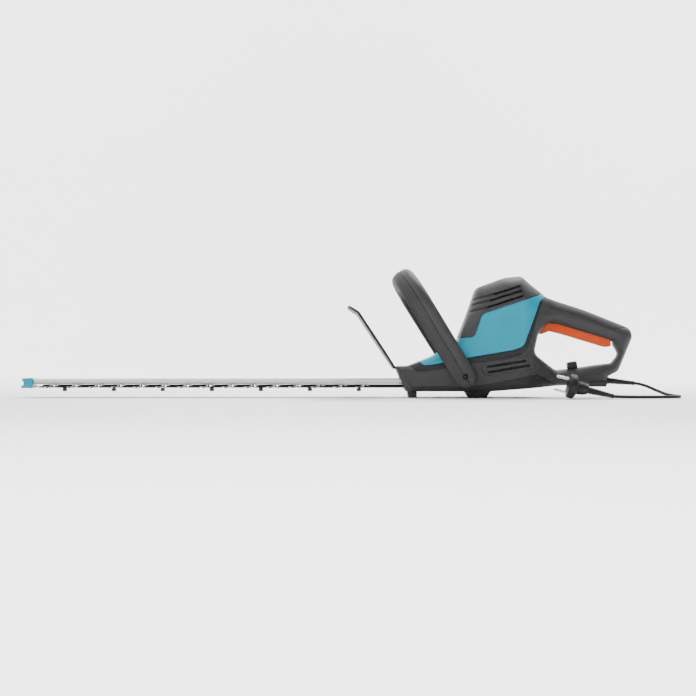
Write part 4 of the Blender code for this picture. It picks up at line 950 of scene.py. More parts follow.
def loop_half(name, side, steps=28):
    """One of the loop's two mouldings: side -1 is the front one, 1 the rear one."""
    line = loop_line()
    stations = []
    for k, (y, up) in enumerate(line):
        before, after = line[max(k - 1, 0)], line[min(k + 1, len(line) - 1)]
        along = Vector((after[0] - before[0], after[1] - before[1])).normalized()
        outward = Vector((along.y, -along.x))
        depth = math.sqrt(LOOP_DEPTH**2 - min(0.0, up) ** 2)
        share = float(smooth_step(45, LOOP_HEIGHT - 8, np.array([up]))[0])
        half = (LEG_THICKNESS + (CROSSBAR_THICKNESS - LEG_THICKNESS) * share) / 2
        section = [(GAP / 2, PARTING_DEPTH - half), (PARTING_WIDTH, 0.15 - half)]
        for step in range(1, steps):
            turn = math.pi * (step / steps - 0.5)
            reach = (depth - GAP / 2) * math.cos(turn) ** 0.78
            section.append((GAP / 2 + reach, half * math.copysign(abs(math.sin(turn)) ** 0.78, turn)))
        section += [(PARTING_WIDTH, half - 0.15), (GAP / 2, half - PARTING_DEPTH)]
        stations.append([
            loop_point(y + outward.x * shift, up + outward.y * shift, side * reach)
            for reach, shift in section
        ])
    half_loop = swept(name, stations)
    low_up = LOOP_HEIGHT - CROSSBAR_THICKNESS / 2 - 12
    reach = SWITCH_BAR_HALF_LENGTH + 1.5
    corners = [(-reach, low_up), (reach, low_up), (reach, LOOP_HEIGHT), (-reach, LOOP_HEIGHT)]
    carve(half_loop, loop_block("switch_slot", corners, SWITCH_BAR_DEPTH + 0.6))
    for across in (-1, 1):
        ends = sorted((across * (LEG_Y - LEG_THICKNESS), across * (LEG_Y + LEG_THICKNESS)))
        carve(half_loop, pin_along_y("screw_hole", PIVOT_SCREW_RADIUS + GAP, *ends, PIVOT, 32))
        head = sorted((across * LEG_Y, across * (LEG_Y + LEG_THICKNESS)))
        carve(half_loop, pin_along_y("head_hole", PIVOT_HEAD_RADIUS + GAP, *head, PIVOT, 32))
    return half_loop


PARTING_DEPTH = 0.6
PARTING_WIDTH = 0.7


def guard_ring(half):
    """Section of the hand guard (off the plate, across): a plate with a thicker, grooved rim."""
    plate_half, rim_half = GUARD_THICKNESS / 2, GUARD_THICKNESS / 2 + 0.3
    edge = [(plate_half, half - 7), (rim_half, half - 5.6), (rim_half, half - 1.0), (rim_half - 0.8, half),
            (0.7, half), (0.6, half - 1.2)]
    side = edge + [(-off, across) for off, across in reversed(edge)]
    inner = [(-plate_half, across * (half - 7) / 4) for across in range(3, -4, -1)]
    other = [(off, -across) for off, across in reversed(side)]
    return side + inner + other + [(-off, -across) for off, across in inner]


def guard_stations():
    """Rings of the guard from the collar to the curled lip."""
    line = line_points(GUARD_LINE, 3.0)
    gone = 0.0
    length = sum(math.dist(a, b) for a, b in zip(line, line[1:]))
    stations = []
    for k, (x, z) in enumerate(line):
        before, after = line[max(k - 1, 0)], line[min(k + 1, len(line) - 1)]
        along = Vector((after[0] - before[0], after[1] - before[1])).normalized()
        normal = Vector((along.y, -along.x))
        gone += math.dist(before, (x, z))
        spread = min(1.0, gone / 38.0)
        widening = GUARD_HALF_WIDTH - GUARD_FOOT_HALF_WIDTH
        half = GUARD_FOOT_HALF_WIDTH + widening * math.sin(spread * math.pi / 2)
        past = max(0.0, gone - (length - GUARD_CORNER))
        half -= GUARD_CORNER - math.sqrt(GUARD_CORNER**2 - min(past, GUARD_CORNER * 0.995) ** 2)
        stations.append([
            (x + normal.x * off, across, z + normal.y * off) for off, across in guard_ring(half)
        ])
    return stations


# ---- Blades ------------------------------------------------------------------------------------------------


def blade_corners(shift, inset):
    """One blade's outline: toothed on both sides, plain in the case, with a yoke at its tail."""
    yoke_front = GEAR_X - CAM_RADIUS - CAM_THROW - BLADE_TRAVEL - 6
    yoke_back = GEAR_X + CAM_RADIUS + CAM_THROW + BLADE_TRAVEL + 6
    yoke_half = CAM_RADIUS + CAM_THROW + 5.5
    edge = [(BLADE_TIP_X, BLADE_HALF_WIDTH - 5), (BLADE_TIP_X + 5, BLADE_HALF_WIDTH)]
    for x in tooth_places():
        edge += [(x - TOOTH_ROOT, BLADE_HALF_WIDTH), (x - TOOTH_TIP, TOOTH_REACH - 1.2),
                 (x - TOOTH_TIP + 1.4, TOOTH_REACH), (x + TOOTH_TIP - 1.4, TOOTH_REACH),
                 (x + TOOTH_TIP, TOOTH_REACH - 1.2), (x + TOOTH_ROOT, BLADE_HALF_WIDTH)]
    edge += [(yoke_front - 8, BLADE_HALF_WIDTH), (yoke_front, yoke_half), (yoke_back, yoke_half)]
    corners = [(x + shift, -y, 0) for x, y in edge] + [(x + shift, y, 0) for x, y in reversed(edge)]
    return [(x, y) for x, y, _ in offset_corners(corners, inset)]


def make_blade(name, levels, shift, cut_side):
    """A blade whose teeth are ground to an edge on the side that meets the other blade."""
    bevel = bpy.context.scene.trimmer_sizes.blade_bevel * 1000
    holes = []
    for x in bolt_places():
        ends = [(x + shift + way * BLADE_TRAVEL, 0) for way in (-1, 1)]
        holes.append(stadium(*ends, BOLT_RADIUS + BOLT_SLOT_GAP, 12))
    reach_x = CAM_RADIUS + CAM_THROW + BLADE_TRAVEL + 1.0
    reach_y = CAM_RADIUS + CAM_THROW + 0.8
    window = [(GEAR_X + shift + i * reach_x, j * reach_y, 6) for i, j in ((-1, -1), (1, -1), (1, 1), (-1, 1))]
    holes.append(outline(window))
    full, ground = blade_corners(shift, 0), blade_corners(shift, bevel)
    points, triangles = triangulate([ground] + holes)
    wide = full + points[len(full) :]
    low, high = levels
    flat = low + 0.5 if cut_side < 0 else high - 0.5
    layers = [(wide, low), (wide, flat), (points, high)]
    if cut_side > 0:
        layers = [(points, low), (wide, flat), (wide, high)]
    vertices = [(x, y, z) for flat_points, z in layers for x, y in flat_points]
    count = len(points)
    faces = [tuple(reversed(face)) for face in triangles]
    faces += [tuple(2 * count + v for v in face) for face in triangles]
    first = 0
    for loop in [full] + holes:
        for k in range(len(loop)):
            a, b = first + k, first + (k + 1) % len(loop)
            faces += [(a + up, b + up, b + up + count, a + up + count) for up in (0, count)]
        first += len(loop)
    node = name.removesuffix("_ground")
    blade = place(add_object(name, vertices, faces), "steel", node, [node])
    for finish_name in ("ground_steel", "edge_shade_steel"):
        blade.data.materials.append(finish_of(finish_name))
    for face in blade.data.polygons:
        face.use_smooth = False
        # slanted bevel faces take ground steel; upright edge faces take near-black steel, painted shade for
        # the dark lines along the blades
        if abs(face.normal.z) < 0.98:
            face.material_index = 1 if abs(face.normal.z) > 0.2 and abs(face.normal.x) > 0.3 else 2


def drilled(obj, radius, places, low, high):
    for x in places:
        carve(obj, turned("hole", [(0, low), (radius, low), (radius, high), (0, high)], 32, (x, 0)))
    return obj


# ---- Settings ----------------------------------------------------------------------------------------------


def size_property(name, description, millimetres):
    return bpy.props.FloatProperty(
        name=name, description=description, default=millimetres * MM, min=0.0, precision=5,
        subtype="DISTANCE", unit="LENGTH")


def colour_property(name, description, colour):
    return bpy.props.FloatVectorProperty(
        name=name, description=description, default=colour, min=0.0, max=1.0, size=3, subtype="COLOR")


class TrimmerSizes(bpy.types.PropertyGroup):
    surface_step: size_property("Surface step", "Distance between points on the moulded surfaces", 1.6)
    seam_depth: size_property("Seam depth", "How far the mouldings' edges are rounded off at a seam", 0.6)
    seam_width: size_property("Seam width", "Width of that rounding on each side of a seam", 1.2)
    band_depth: size_property("Band depth", "Depth of the sunken band round the motor hood", 1.5)
    blade_bevel: size_property("Blade bevel", "Width of the ground bevel round each tooth", 1.7)


class TrimmerColours(bpy.types.PropertyGroup):
    case: colour_property("Case", "Case, collar and rear half of the loop", (0.038, 0.0384, 0.0395))
    hood: colour_property("Hood", "Motor hood and tip guard", (0.0, 0.27, 0.385))
    trigger: colour_property("Trigger", "Trigger on the rear handle", (0.56, 0.052, 0.0))
    grip: colour_property("Grip", "Soft grip faces", (0.033, 0.033, 0.034))
    cover: colour_property("Cover", "Bottom cover and other black mouldings", (0.018, 0.018, 0.019))
    cord: colour_property("Cord", "Cord, bend relief and plug", (0.011, 0.011, 0.012))


# ---- Operators ---------------------------------------------------------------------------------------------


class TRIMMER_OT_camera(bpy.types.Operator):
    """Level camera on the near side of the tool."""

    bl_idname = "trimmer.camera"
    bl_label = "Camera"

    def execute(self, context):
        camera = bpy.data.objects.new("camera", bpy.data.cameras.new("camera"))
        context.collection.objects.link(camera)
        camera.location = (31.1 * MM, -CAMERA_DISTANCE, 72.5 * MM)
        camera.rotation_euler = (math.pi / 2, 0, 0)
        camera.data.sensor_width = 36.0
        camera.data.lens = 36.0 * CAMERA_DISTANCE / FRAMED_WIDTH
        context.scene.camera = camera
        return {"FINISHED"}


CAMERA_DISTANCE = 2.0
FRAMED_WIDTH = 1.030


class TRIMMER_OT_cord(bpy.types.Operator):
    """Cord with its bend relief and its two-pin plug."""

    bl_idname = "trimmer.cord"
    bl_label = "Cord and plug"

    def execute(self, context):
        curve = bpy.data.curves.new("cord", "CURVE")
        curve.dimensions = "3D"
        curve.bevel_depth = CORD_DIAMETER / 2 * MM
        curve.bevel_resolution = 6
        curve.use_fill_caps = True
        spline = curve.splines.new("POLY")
        points = smooth_route(CORD_ROUTE, 76)
        spline.points.add(len(points) - 1)
        for point, where in zip(spline.points, points):
            point.co = (*(where * MM), 1)
        spline.use_smooth = True
        cord = bpy.data.objects.new("cord", curve)
        context.collection.objects.link(cord)
        curve.materials.append(finish_of("cord_black"))
        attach(cord, "body")
        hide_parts("power_cord")
        pieces = [self.make_plug()] + self.make_pins()
        self.make_relief()
        return {"FINISHED"}

    def make_relief(self):
        start, end = Vector(SLEEVE_START), Vector(SLEEVE_END)
        length = (end - start).length
        bore = CORD_DIAMETER / 2 + GAP
        profile = [(bore, length - 6), (bore, length), (2.9, length), (3.1, length - 0.4)]
        profile += ribbed(length - 3.0, 6.0, 3.3, 4.9, 3.3, 0.8)
        profile += [(5.0, 3), (5.0, -10), (0, -10), (0, length - 6)]
        relief = along_axis("bend_relief", profile, start, end - start, 40)
        place(relief, "cord_black", nodes=["cord_sleeve"])

    def plug_axis(self):
        tilt = math.radians(PLUG_TILT)
        direction = Vector((-math.cos(tilt), 0, math.sin(tilt)))
        side = Vector((math.sin(tilt), 0, math.cos(tilt)))
        return Vector(CORD_ROUTE[-1]) + direction * 2 * GAP, direction, side

    def make_plug(self):
        flange_start = PLUG_RELIEF + PLUG_BODY
        face = flange_start + PLUG_FLANGE
        profile = [(0, 0), (3.0, 0), (3.3, 0.4)] + ribbed(2.0, PLUG_RELIEF - 3, 3.4, 5.5, 3.5, 0.9)
        profile += [
            (5.6, PLUG_RELIEF - 2), (7.0, PLUG_RELIEF + 0.5), (8.2, PLUG_RELIEF + 3), (8.8, PLUG_RELIEF + 6),
            (9.2, flange_start - 5), (9.7, flange_start - 3), (11.5, flange_start - 1.4),
            (PLUG_FLANGE_RADIUS - 3, flange_start - 0.4), (PLUG_FLANGE_RADIUS - 1, flange_start + 0.8),
            (PLUG_FLANGE_RADIUS, flange_start + 2.5), (PLUG_FLANGE_RADIUS, face - 3.4),
            (PLUG_FLANGE_RADIUS - 0.5, face - 3.0), (PLUG_FLANGE_RADIUS - 0.5, face - 2.4),
            (PLUG_FLANGE_RADIUS - 0.2, face - 2.0), (PLUG_FLANGE_RADIUS - 0.6, face - 0.8),
            (PLUG_FLANGE_RADIUS - 1.8, face), (PLUG_FLANGE_RADIUS - 3.2, face),
            (PLUG_FLANGE_RADIUS - 3.4, face - 0.6), (PLUG_FLANGE_RADIUS - 4.4, face - 0.6),
            (PLUG_FLANGE_RADIUS - 4.6, face), (0, face),
        ]
        start, direction, _ = self.plug_axis()
        return place(along_axis("mains_plug", profile, start, direction, 64), "cord_black", nodes=["plug"])

    def make_pins(self):
        start, direction, side = self.plug_axis()
        face = PLUG_RELIEF + PLUG_BODY + PLUG_FLANGE
        profile = [
            (0, 0), (PIN_RADIUS, 0), (PIN_RADIUS, PIN_LENGTH - 1.6), (PIN_RADIUS - 0.25, PIN_LENGTH - 0.7),
            (PIN_RADIUS - 0.8, PIN_LENGTH - 0.15), (PIN_RADIUS - 1.4, PIN_LENGTH), (0, PIN_LENGTH),
        ]
        pins = []
        for name, sign in (("lower", -1), ("upper", 1)):
            foot = start + direction * (face + GAP) + side * sign * PIN_SPACING / 2
            pin = along_axis(f"mains_pin_{name}", profile, foot, direction, 32)
            pins.append(place(pin, "nickel", nodes=[f"plug_pin_{name}"]))
        return pins


class TRIMMER_OT_case(bpy.types.Operator):
    """Two case halves with their vents, posts and sunken band."""

    bl_idname = "trimmer.case"
    bl_label = "Case halves"

    def execute(self, context):
        whole = fine_body("case", case_relief)
        foot = side_plate("foot", REAR_FOOT, -REAR_FOOT_HALF_WIDTH, REAR_FOOT_HALF_WIDTH)
        carve(whole, rounded(foot, 1.5), "UNION")
        for corners in (COLLAR_REGION, COVER_REGION):
            carve(whole, region(corners, GAP))
        for corners in (HOOD_REGION, GRIP_REGION):
            carve(whole, carve(region(corners, GAP), body_solid("floor", SKIN + POCKET_GAP)))
        hollow = body_solid("hollow", WALL + 1.2)
        for corners in (HOOD_REGION, GRIP_REGION):
            carve(hollow, region(corners, WALL + GAP))
        carve(whole, body_solid("deep_hollow", SKIN + POCKET_GAP + WALL - 0.5))
        carve(whole, hollow)
        hole = plate("cord_hole", [circle((0, SLEEVE_START[2]), 5.6, 32)], 398, 425, "XZ")
        hole.data.transform(Matrix.Rotation(-math.pi / 2, 4, "Z"))
        carve(whole, hole)
        slot_half = TRIGGER_HALF_WIDTH + GAP
        carve(whole, side_plate("trigger_slot", TRIGGER_SLOT, -slot_half, slot_half))
        for vents, width in ((DOME_VENTS, DOME_VENT_WIDTH), (SIDE_VENTS, SIDE_VENT_WIDTH)):
            for start, end in vents:
                for ends in ((-FAR, -20), (20, FAR)):
                    carve(whole, plate("vent", [stadium(start, end, width / 2, 10)], *ends, "XZ"))
        for name, side in (("left_housing", -1), ("right_housing", 1)):
            ends = sorted((side * GAP / 2, side * FAR))
            shell = carve(twin(whole, name.replace("housing", "case")), box(
                "half", (50, ends[0], -20), (500, ends[1], 220)), "INTERSECT")
            self.fit(shell, side)
            place(shell, "graphite", nodes=[name])
            # painted shade: the floor of the sunken band takes the black finish
            self.paint_band_shade(shell)
        bpy.data.objects.remove(whole)
        return {"FINISHED"}

    def paint_band_shade(self, shell):
        """Gives the floor of the sunken band the black finish, as painted shade in the recess."""
        shell.data.materials.append(finish_of("black"))
        faces = shell.data.polygons
        middles = np.array([face.center for face in faces]) / MM
        loop = outline(offset_corners(BAND, 0.7), 12.0)
        width = half_width(middles[:, 0]) - 6
        # faces on the band's floor, which get painted shade
        outer = (np.abs(middles[:, 1]) > width) & inside(middles[:, [0, 2]], [loop])
        for face, sunk in zip(faces, outer):
            face.material_index = int(sunk)

    def fit(self, shell, side):
        """Posts for the case screws and the front handle, with their holes."""
        for x, z in CASE_SCREWS:
            reach = screw_y(x, z)
            ends = sorted((side * GAP / 2, side * (reach - 1.0)))
            carve(shell, pin_along_y("post", BOSS_RADIUS, *ends, (x, z), 24), "UNION")
            deep = sorted((side * -1.0, side * (reach - 3.0))) if side > 0 else [-SCREW_REACH - 1.0, 1.0]
            carve(shell, pin_along_y("hole", CASE_SCREW_RADIUS + GAP, *deep, (x, z), 20))
            if side > 0:
                carve(shell, pin_along_y("counterbore", CASE_SCREW_HEAD + GAP, reach - 3.3, FAR, (x, z), 32))
        leg_face = LEG_Y - LEG_THICKNESS / 2 - GAP
        ends = sorted((side * PAD_DEPTH, side * leg_face))
        carve(shell, pin_along_y("pad", PIVOT_BOSS_RADIUS, *ends, PIVOT, 48), "UNION")
        ends = sorted((side * SCREW_DEPTH, side * FAR))
        carve(shell, pin_along_y("pivot_hole", PIVOT_SCREW_RADIUS + GAP, *ends, PIVOT, 24))
        pin_ends = (-PIN_HALF - 0.6, PIN_HALF + 0.6)
        carve(shell, pin_along_y("pin_hole", TRIGGER_PIN_RADIUS + GAP, *pin_ends, TRIGGER_PIVOT, 24))


class TRIMMER_OT_baffles(bpy.types.Operator):
    """Dark baffles with ribs behind the vents, one on each side for the dome and for the lower slots; their
    black is painted shade for the inside of the case.
    """

    bl_idname = "trimmer.baffles"
    bl_label = "Vent baffles"

    def execute(self, context):
        for side_name, side in (("left", -1), ("right", 1)):
            for place_name, corners, vents, away in (("dome", DOME_BAFFLE, DOME_VENTS, 30.5),
                                                     ("side", SIDE_BAFFLE, SIDE_VENTS, SIDE_BAFFLE_Y)):
                ends = sorted((side * away, side * (away + 1.2)))
                piece = plate("baffle", [outline(corners)], *ends, "XZ")
                for start, end in vents:
                    for share in (0.2, 0.4, 0.6, 0.8):
                        x, z = (a + (b - a) * share for a, b in zip(start, end))
                        ends = sorted((side * (away + 0.5), side * (away + 4.0)))
                        rib = [(x - 0.6, z - 3.4), (x + 0.6, z - 3.4), (x + 0.6, z + 3.4), (x - 0.6, z + 3.4)]
                        carve(piece, plate("rib", [rib], *ends, "XZ"), "UNION")
                carve(piece, body_solid("room", WALL + 0.5), "INTERSECT")
                piece.name = f"{place_name}_baffle_{side_name}"
                # black baffle: painted shade behind the vents
                place(piece, "black")
        return {"FINISHED"}


DOME_BAFFLE = [(230, 126, 0), (296, 143, 0), (292, 168, 0), (262, 172, 0), (231, 155, 0)]
SIDE_BAFFLE = [(230, 32, 0), (300, 41, 0), (297, 60, 0), (230, 51, 0)]
SIDE_BAFFLE_Y = 33.4  # clear of the drive gear's teeth


class TRIMMER_OT_mouldings(bpy.types.Operator):
    """Motor hood, rear grip, bottom cover and the collar at the blades' root."""

    bl_idname = "trimmer.mouldings"
    bl_label = "Hood, grip, cover and collar"

    def execute(self, context):
        body = fine_body("moulding", seam_relief)
        for name, node, corners, finish_name in (("hood", "motor_hood", HOOD_REGION, "turquoise"),
                                                 ("grip", "rear_grip", GRIP_REGION, "soft_grip")):
            piece = carve(twin(body, name), region(corners), "INTERSECT")
            place(carve(piece, body_solid("inner", SKIN)), finish_name, nodes=[node])
        cover = carve(twin(body, "cover"), region(COVER_REGION), "INTERSECT")
        carve(cover, body_solid("hollow", WALL))
        foot = side_plate("foot", MID_FOOT, -MID_FOOT_HALF_WIDTH, MID_FOOT_HALF_WIDTH)
        place(carve(cover, rounded(foot, 0.9), "UNION"), "cover_ribs", nodes=["bottom_cover"])
        collar = carve(twin(body, "collar"), region(COLLAR_REGION), "INTERSECT")
        foot = side_plate("foot", FRONT_FOOT, -FRONT_FOOT_HALF_WIDTH, FRONT_FOOT_HALF_WIDTH)
        carve(collar, rounded(foot, 2.2), "UNION")
        low = (80, -STRIP_HALF_WIDTH - 2, LOWER_BLADE_Z[0] - 1.5)
        carve(collar, box("mouth", low, (140, STRIP_HALF_WIDTH + 2, BAR_Z[1] + 1.5)))
        place(collar, "graphite", nodes=["guard_collar"])
        bpy.data.objects.remove(body)
        return {"FINISHED"}


class TRIMMER_OT_front_handle(bpy.types.Operator):
    """Loop handle in two halves, its switch bar and its pivot screws."""

    bl_idname = "trimmer.front_handle"
    bl_label = "Front handle"

    def execute(self, context):
        place(loop_half("handle_front", -1), "soft_grip", nodes=["front_handle_front"])
        place(loop_half("handle_rear", 1), "graphite", nodes=["front_handle_rear"])
        top = LOOP_HEIGHT - CROSSBAR_THICKNESS / 2 + 5.0
        low = top - SWITCH_BAR_TRAVEL - SWITCH_BAR_PROUD
        half = SWITCH_BAR_HALF_LENGTH
        corners = outline([(-half, low, 6), (half, low, 6), (half, top, 1), (-half, top, 1)])
        bar = rounded(loop_block("switch_bar", corners, SWITCH_BAR_DEPTH), 1.6, 4)
        place(bar, "black", "front_switch", ["front_switch_bar"])
        for name, side in (("left", -1), ("right", 1)):
            start = (PIVOT[0], side * (LEG_Y + 1.0), PIVOT[1])
            length = LEG_Y + 1.0 - SCREW_DEPTH - GAP
            outward = (0, side, 0)
            head = (PIVOT_HEAD_RADIUS, 2.3)
            piece = screw(f"pivot_screw_{name}", *head, PIVOT_SCREW_RADIUS, length, start, outward)
            # black pivot screw; its black also paints the shade in the recess round its head
            place(piece, "black_screw", nodes=[f"handle_screw_{name}"])
            face = LEG_THICKNESS / 2 + LEG_Y
            ring = [(4.7, -1.2), (6.2, -1.2), (6.2, 0.2), (5.9, 0.5), (5.0, 0.5), (4.7, 0.2)]
            seat = (PIVOT[0], side * face, PIVOT[1])
            collar = along_axis(f"pivot_ring_{name}", ring, seat, outward, 48)
            place(collar, "graphite")
        return {"FINISHED"}


class TRIMMER_OT_hand_guard(bpy.types.Operator):
    """Hand guard with its thick rim and curled lip."""

    bl_idname = "trimmer.hand_guard"
    bl_label = "Hand guard"

    def execute(self, context):
        place(swept("guard", guard_stations()), "black", nodes=["hand_guard"])
        return {"FINISHED"}


class TRIMMER_OT_blades(bpy.types.Operator):
    """Two toothed blades, the guide bar and strip over them, their bolts and the tip guard."""

    bl_idname = "trimmer.blades"
    bl_label = "Blades and bar"

    def execute(self, context):
        make_blade("upper_blade_ground", UPPER_BLADE_Z, BLADE_REST_SHIFT, -1)
        make_blade("lower_blade_ground", LOWER_BLADE_Z, -BLADE_REST_SHIFT, 1)
        low, high = BAR_Z
        half = BAR_HALF_WIDTH
        right = [
            (half, low), (half, low + 2.2), (half - 0.5, low + 2.5), (half - 0.5, low + 3.3),
            (half, low + 3.6), (half, high - 1.2), (half - 0.5, high - 0.4), (half - 1.2, high),
            (5.6, high), (5.3, high - 0.4), (4.6, high - 0.4), (4.3, high),
        ]
        section = right + [(-y, z) for y, z in reversed(right)]
        ends = ((BAR_TIP_X, 0.5), (BAR_TIP_X + 0.5, 0.0), (BAR_TAIL_X, 0.0))
        rings = [
            [(x, y * (1 - cut / half), z - (cut if z > low + 1 else 0)) for y, z in section]
            for x, cut in ends
        ]
        bar = drilled(swept("bar", rings), BOLT_RADIUS + GAP, bolt_places(), low - 1, high + 1)
        bar = drilled(bar, BOLT_HEAD_RADIUS, bolt_places(), high - 1.5, high + 1)
        place(bar, "aluminium", nodes=["guide_bar"])
        tab_x, tab_half = TIP_X + 5.5, STRIP_HALF_WIDTH - 5
        near = [(tab_x, -tab_half), (BAR_TIP_X, -tab_half), (BAR_TIP_X, -STRIP_HALF_WIDTH + 1.5),
                (BAR_TIP_X + 1.5, -STRIP_HALF_WIDTH), (BAR_TAIL_X, -STRIP_HALF_WIDTH)]
        strip = plate("strip", [near + [(x, -y) for x, y in reversed(near)]], *STRIP_Z)
        drilled(rounded(strip, 0.35, 2), BOLT_RADIUS + GAP, bolt_places(), 10, 30)
        drilled(strip, TIP_SCREW_RADIUS + GAP, [TIP_SCREW_X], 10, 30)
        place(strip, "ground_steel", nodes=["guide_strip"])
        self.make_bolts()
        self.make_tip_guard()
        return {"FINISHED"}

    def make_bolts(self):
        low, neck = BOLT_HEAD_LOW_Z, LOWER_BLADE_Z[0] - GAP
        head, shank = BOLT_HEAD_RADIUS, BOLT_RADIUS
        top = BAR_Z[1]
        profile = [
            (0, low + 0.7), (1.2, low + 0.7), (1.3, low), (head - 0.8, low), (head - 0.2, low + 0.3),
            (head, low + 0.9), (head, neck - 1.6), (head - 0.5, neck - 1.4), (head - 0.5, neck - 1.1),
            (head, neck - 0.9), (head, neck), (shank, neck), (shank, top - 1.4), (shank - 0.3, top - 0.9),
            (0, top - 0.7),
        ]
        bolt = turned("bolt", profile, 32)
        bolt.data.transform(Matrix.Translation((FIRST_BOLT_X * MM, 0, 0)))
        bolts = copies("blade_bolts", bolt, count=BOLT_COUNT, pitch=BOLT_PITCH)
        place(bolts, "black_screw", nodes=[f"blade_bolt_{k + 1}" for k in range(BOLT_COUNT)])

    def make_tip_guard(self):
        guard = side_plate("tip", TIP_GUARD, -TIP_GUARD_HALF_WIDTH, TIP_GUARD_HALF_WIDTH)
        front, back, half = TIP_X, TIP_GUARD[1][0], TIP_GUARD_HALF_WIDTH
        plan = outline([(front, -half, 6), (back, -half, 1.5), (back, half, 1.5), (front, half, 6)])
        carve(guard, plate("plan", [plan], 0, 40), "INTERSECT")
        rounded(guard, 0.5, 2)
        low = (TIP_X + 5.5 - GAP, -STRIP_HALF_WIDTH + 5 - GAP, STRIP_Z[0] - GAP)
        carve(guard, box("slot", low, (TIP_X + 30, STRIP_HALF_WIDTH - 5 + GAP, STRIP_Z[1] + GAP)))
        drilled(guard, TIP_SCREW_RADIUS + GAP, [TIP_SCREW_X], 5, 40)
        drilled(guard, 3.6 + GAP, [TIP_SCREW_X], 26.0, 40)
        place(guard, "turquoise", nodes=["tip_guard"])
        piece = screw("tip_screw", 3.6, 1.5, TIP_SCREW_RADIUS, 11.8, (TIP_SCREW_X, 0, 26.3), (0, 0, 1))
        place(piece, "steel", nodes=["tip_guard_screw"])


SPRING_PLACE = (381.0, 102.0, 118.0)  # x, lower end, upper end
SPRING_COIL = (3.6, 0.6, 4)  # radius, wire radius, turns
SPRING_STEPS = 24  # stations in a turn


def coil():
    """The trigger's return spring: a round wire wound up a vertical axis."""
    x, low, high = SPRING_PLACE
    radius, wire, turns = SPRING_COIL
    count = turns * SPRING_STEPS
    rise = (high - low) / (2 * math.pi * turns)
    stations = []
    for k in range(count + 1):
        turn = 2 * math.pi * k / SPRING_STEPS
        out = Vector((math.cos(turn), math.sin(turn), 0))
        along = Vector((-radius * math.sin(turn), radius * math.cos(turn), rise)).normalized()
        side = out.cross(along)
        middle = Vector((x, 0, low + (high - low) * k / count)) + out * radius
        stations.append([middle + out * a + side * b for a, b in circle((0, 0), wire, 8)])
    return swept("return_spring", stations)


class TRIMMER_OT_fittings(bpy.types.Operator):
    """Trigger, its return spring, cable hook and case screws."""

    bl_idname = "trimmer.fittings"
    bl_label = "Trigger, hook and screws"

    def execute(self, context):
        trigger = side_plate("trigger_lever", TRIGGER, -TRIGGER_HALF_WIDTH, TRIGGER_HALF_WIDTH)
        rounded(trigger, 2.2, 5)
        carve(trigger, pin_along_y("hole", TRIGGER_PIN_RADIUS + GAP, -20, 20, TRIGGER_PIVOT, 24))
        place(trigger, "orange", "trigger", ["trigger"])
        spring = place(coil(), "steel", nodes=["trigger_spring"])
        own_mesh(spring)
        hook = side_plate("hook", CABLE_HOOK, -CABLE_HOOK_HALF_WIDTH, CABLE_HOOK_HALF_WIDTH)
        place(carve(rounded(hook, 1.0), body_solid("clearance", -GAP)), "black", nodes=["cable_hook"])
        prototype = screw("case_screw", CASE_SCREW_HEAD, 2.2, CASE_SCREW_RADIUS, 8.0, (0, 0, 0), (0, 1, 0))
        places = [(x, screw_y(x, z) - 2.6, z) for x, z in CASE_SCREWS]
        screws = copies("case_screws", prototype, places)
        place(screws, "steel", nodes=[f"case_screw_{k + 1}" for k in range(len(CASE_SCREWS))])
        return {"FINISHED"}


INNER_FINISHES = {
    "steel": ("gear_shaft", "eccentric", "drive_gear", "stator", "trigger_pin"),
    "aluminium": ("gear_plate", "motor_bracket"),
    "copper": ("rotor", "commutator"),
    "brass": ("gear_bearing", "pinion", "brush_left", "brush_right"),
    "nickel": ("lower_bearing", "upper_bearing"),
    "black": ("fan", "switch_body", "capacitor"),
}


class TRIMMER_OT_works(bpy.types.Operator):
    """Finishes of the motor, the drive and the switch inside the case."""

    bl_idname = "trimmer.works"
    bl_label = "Inner works"

    def execute(self, context):
        for finish_name, nodes in INNER_FINISHES.items():
            for node in nodes:
                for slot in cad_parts[node].material_slots:
                    slot.material = finish_of(finish_name)
        return {"FINISHED"}


# The stage, in metres: a level floor that sweeps up into its backdrop.
FLOOR_FRONT_Y = -6.0
FLOOR_HALF_WIDTH = 7.0
FLOOR_DROP = 0.0006  # below the feet, so that no face of theirs lies in it
SWEEP_Y = 1.6
SWEEP_RADIUS = 1.4
BACKDROP_TOP_Z = 5.0
WORLD_STRENGTH = 0.2


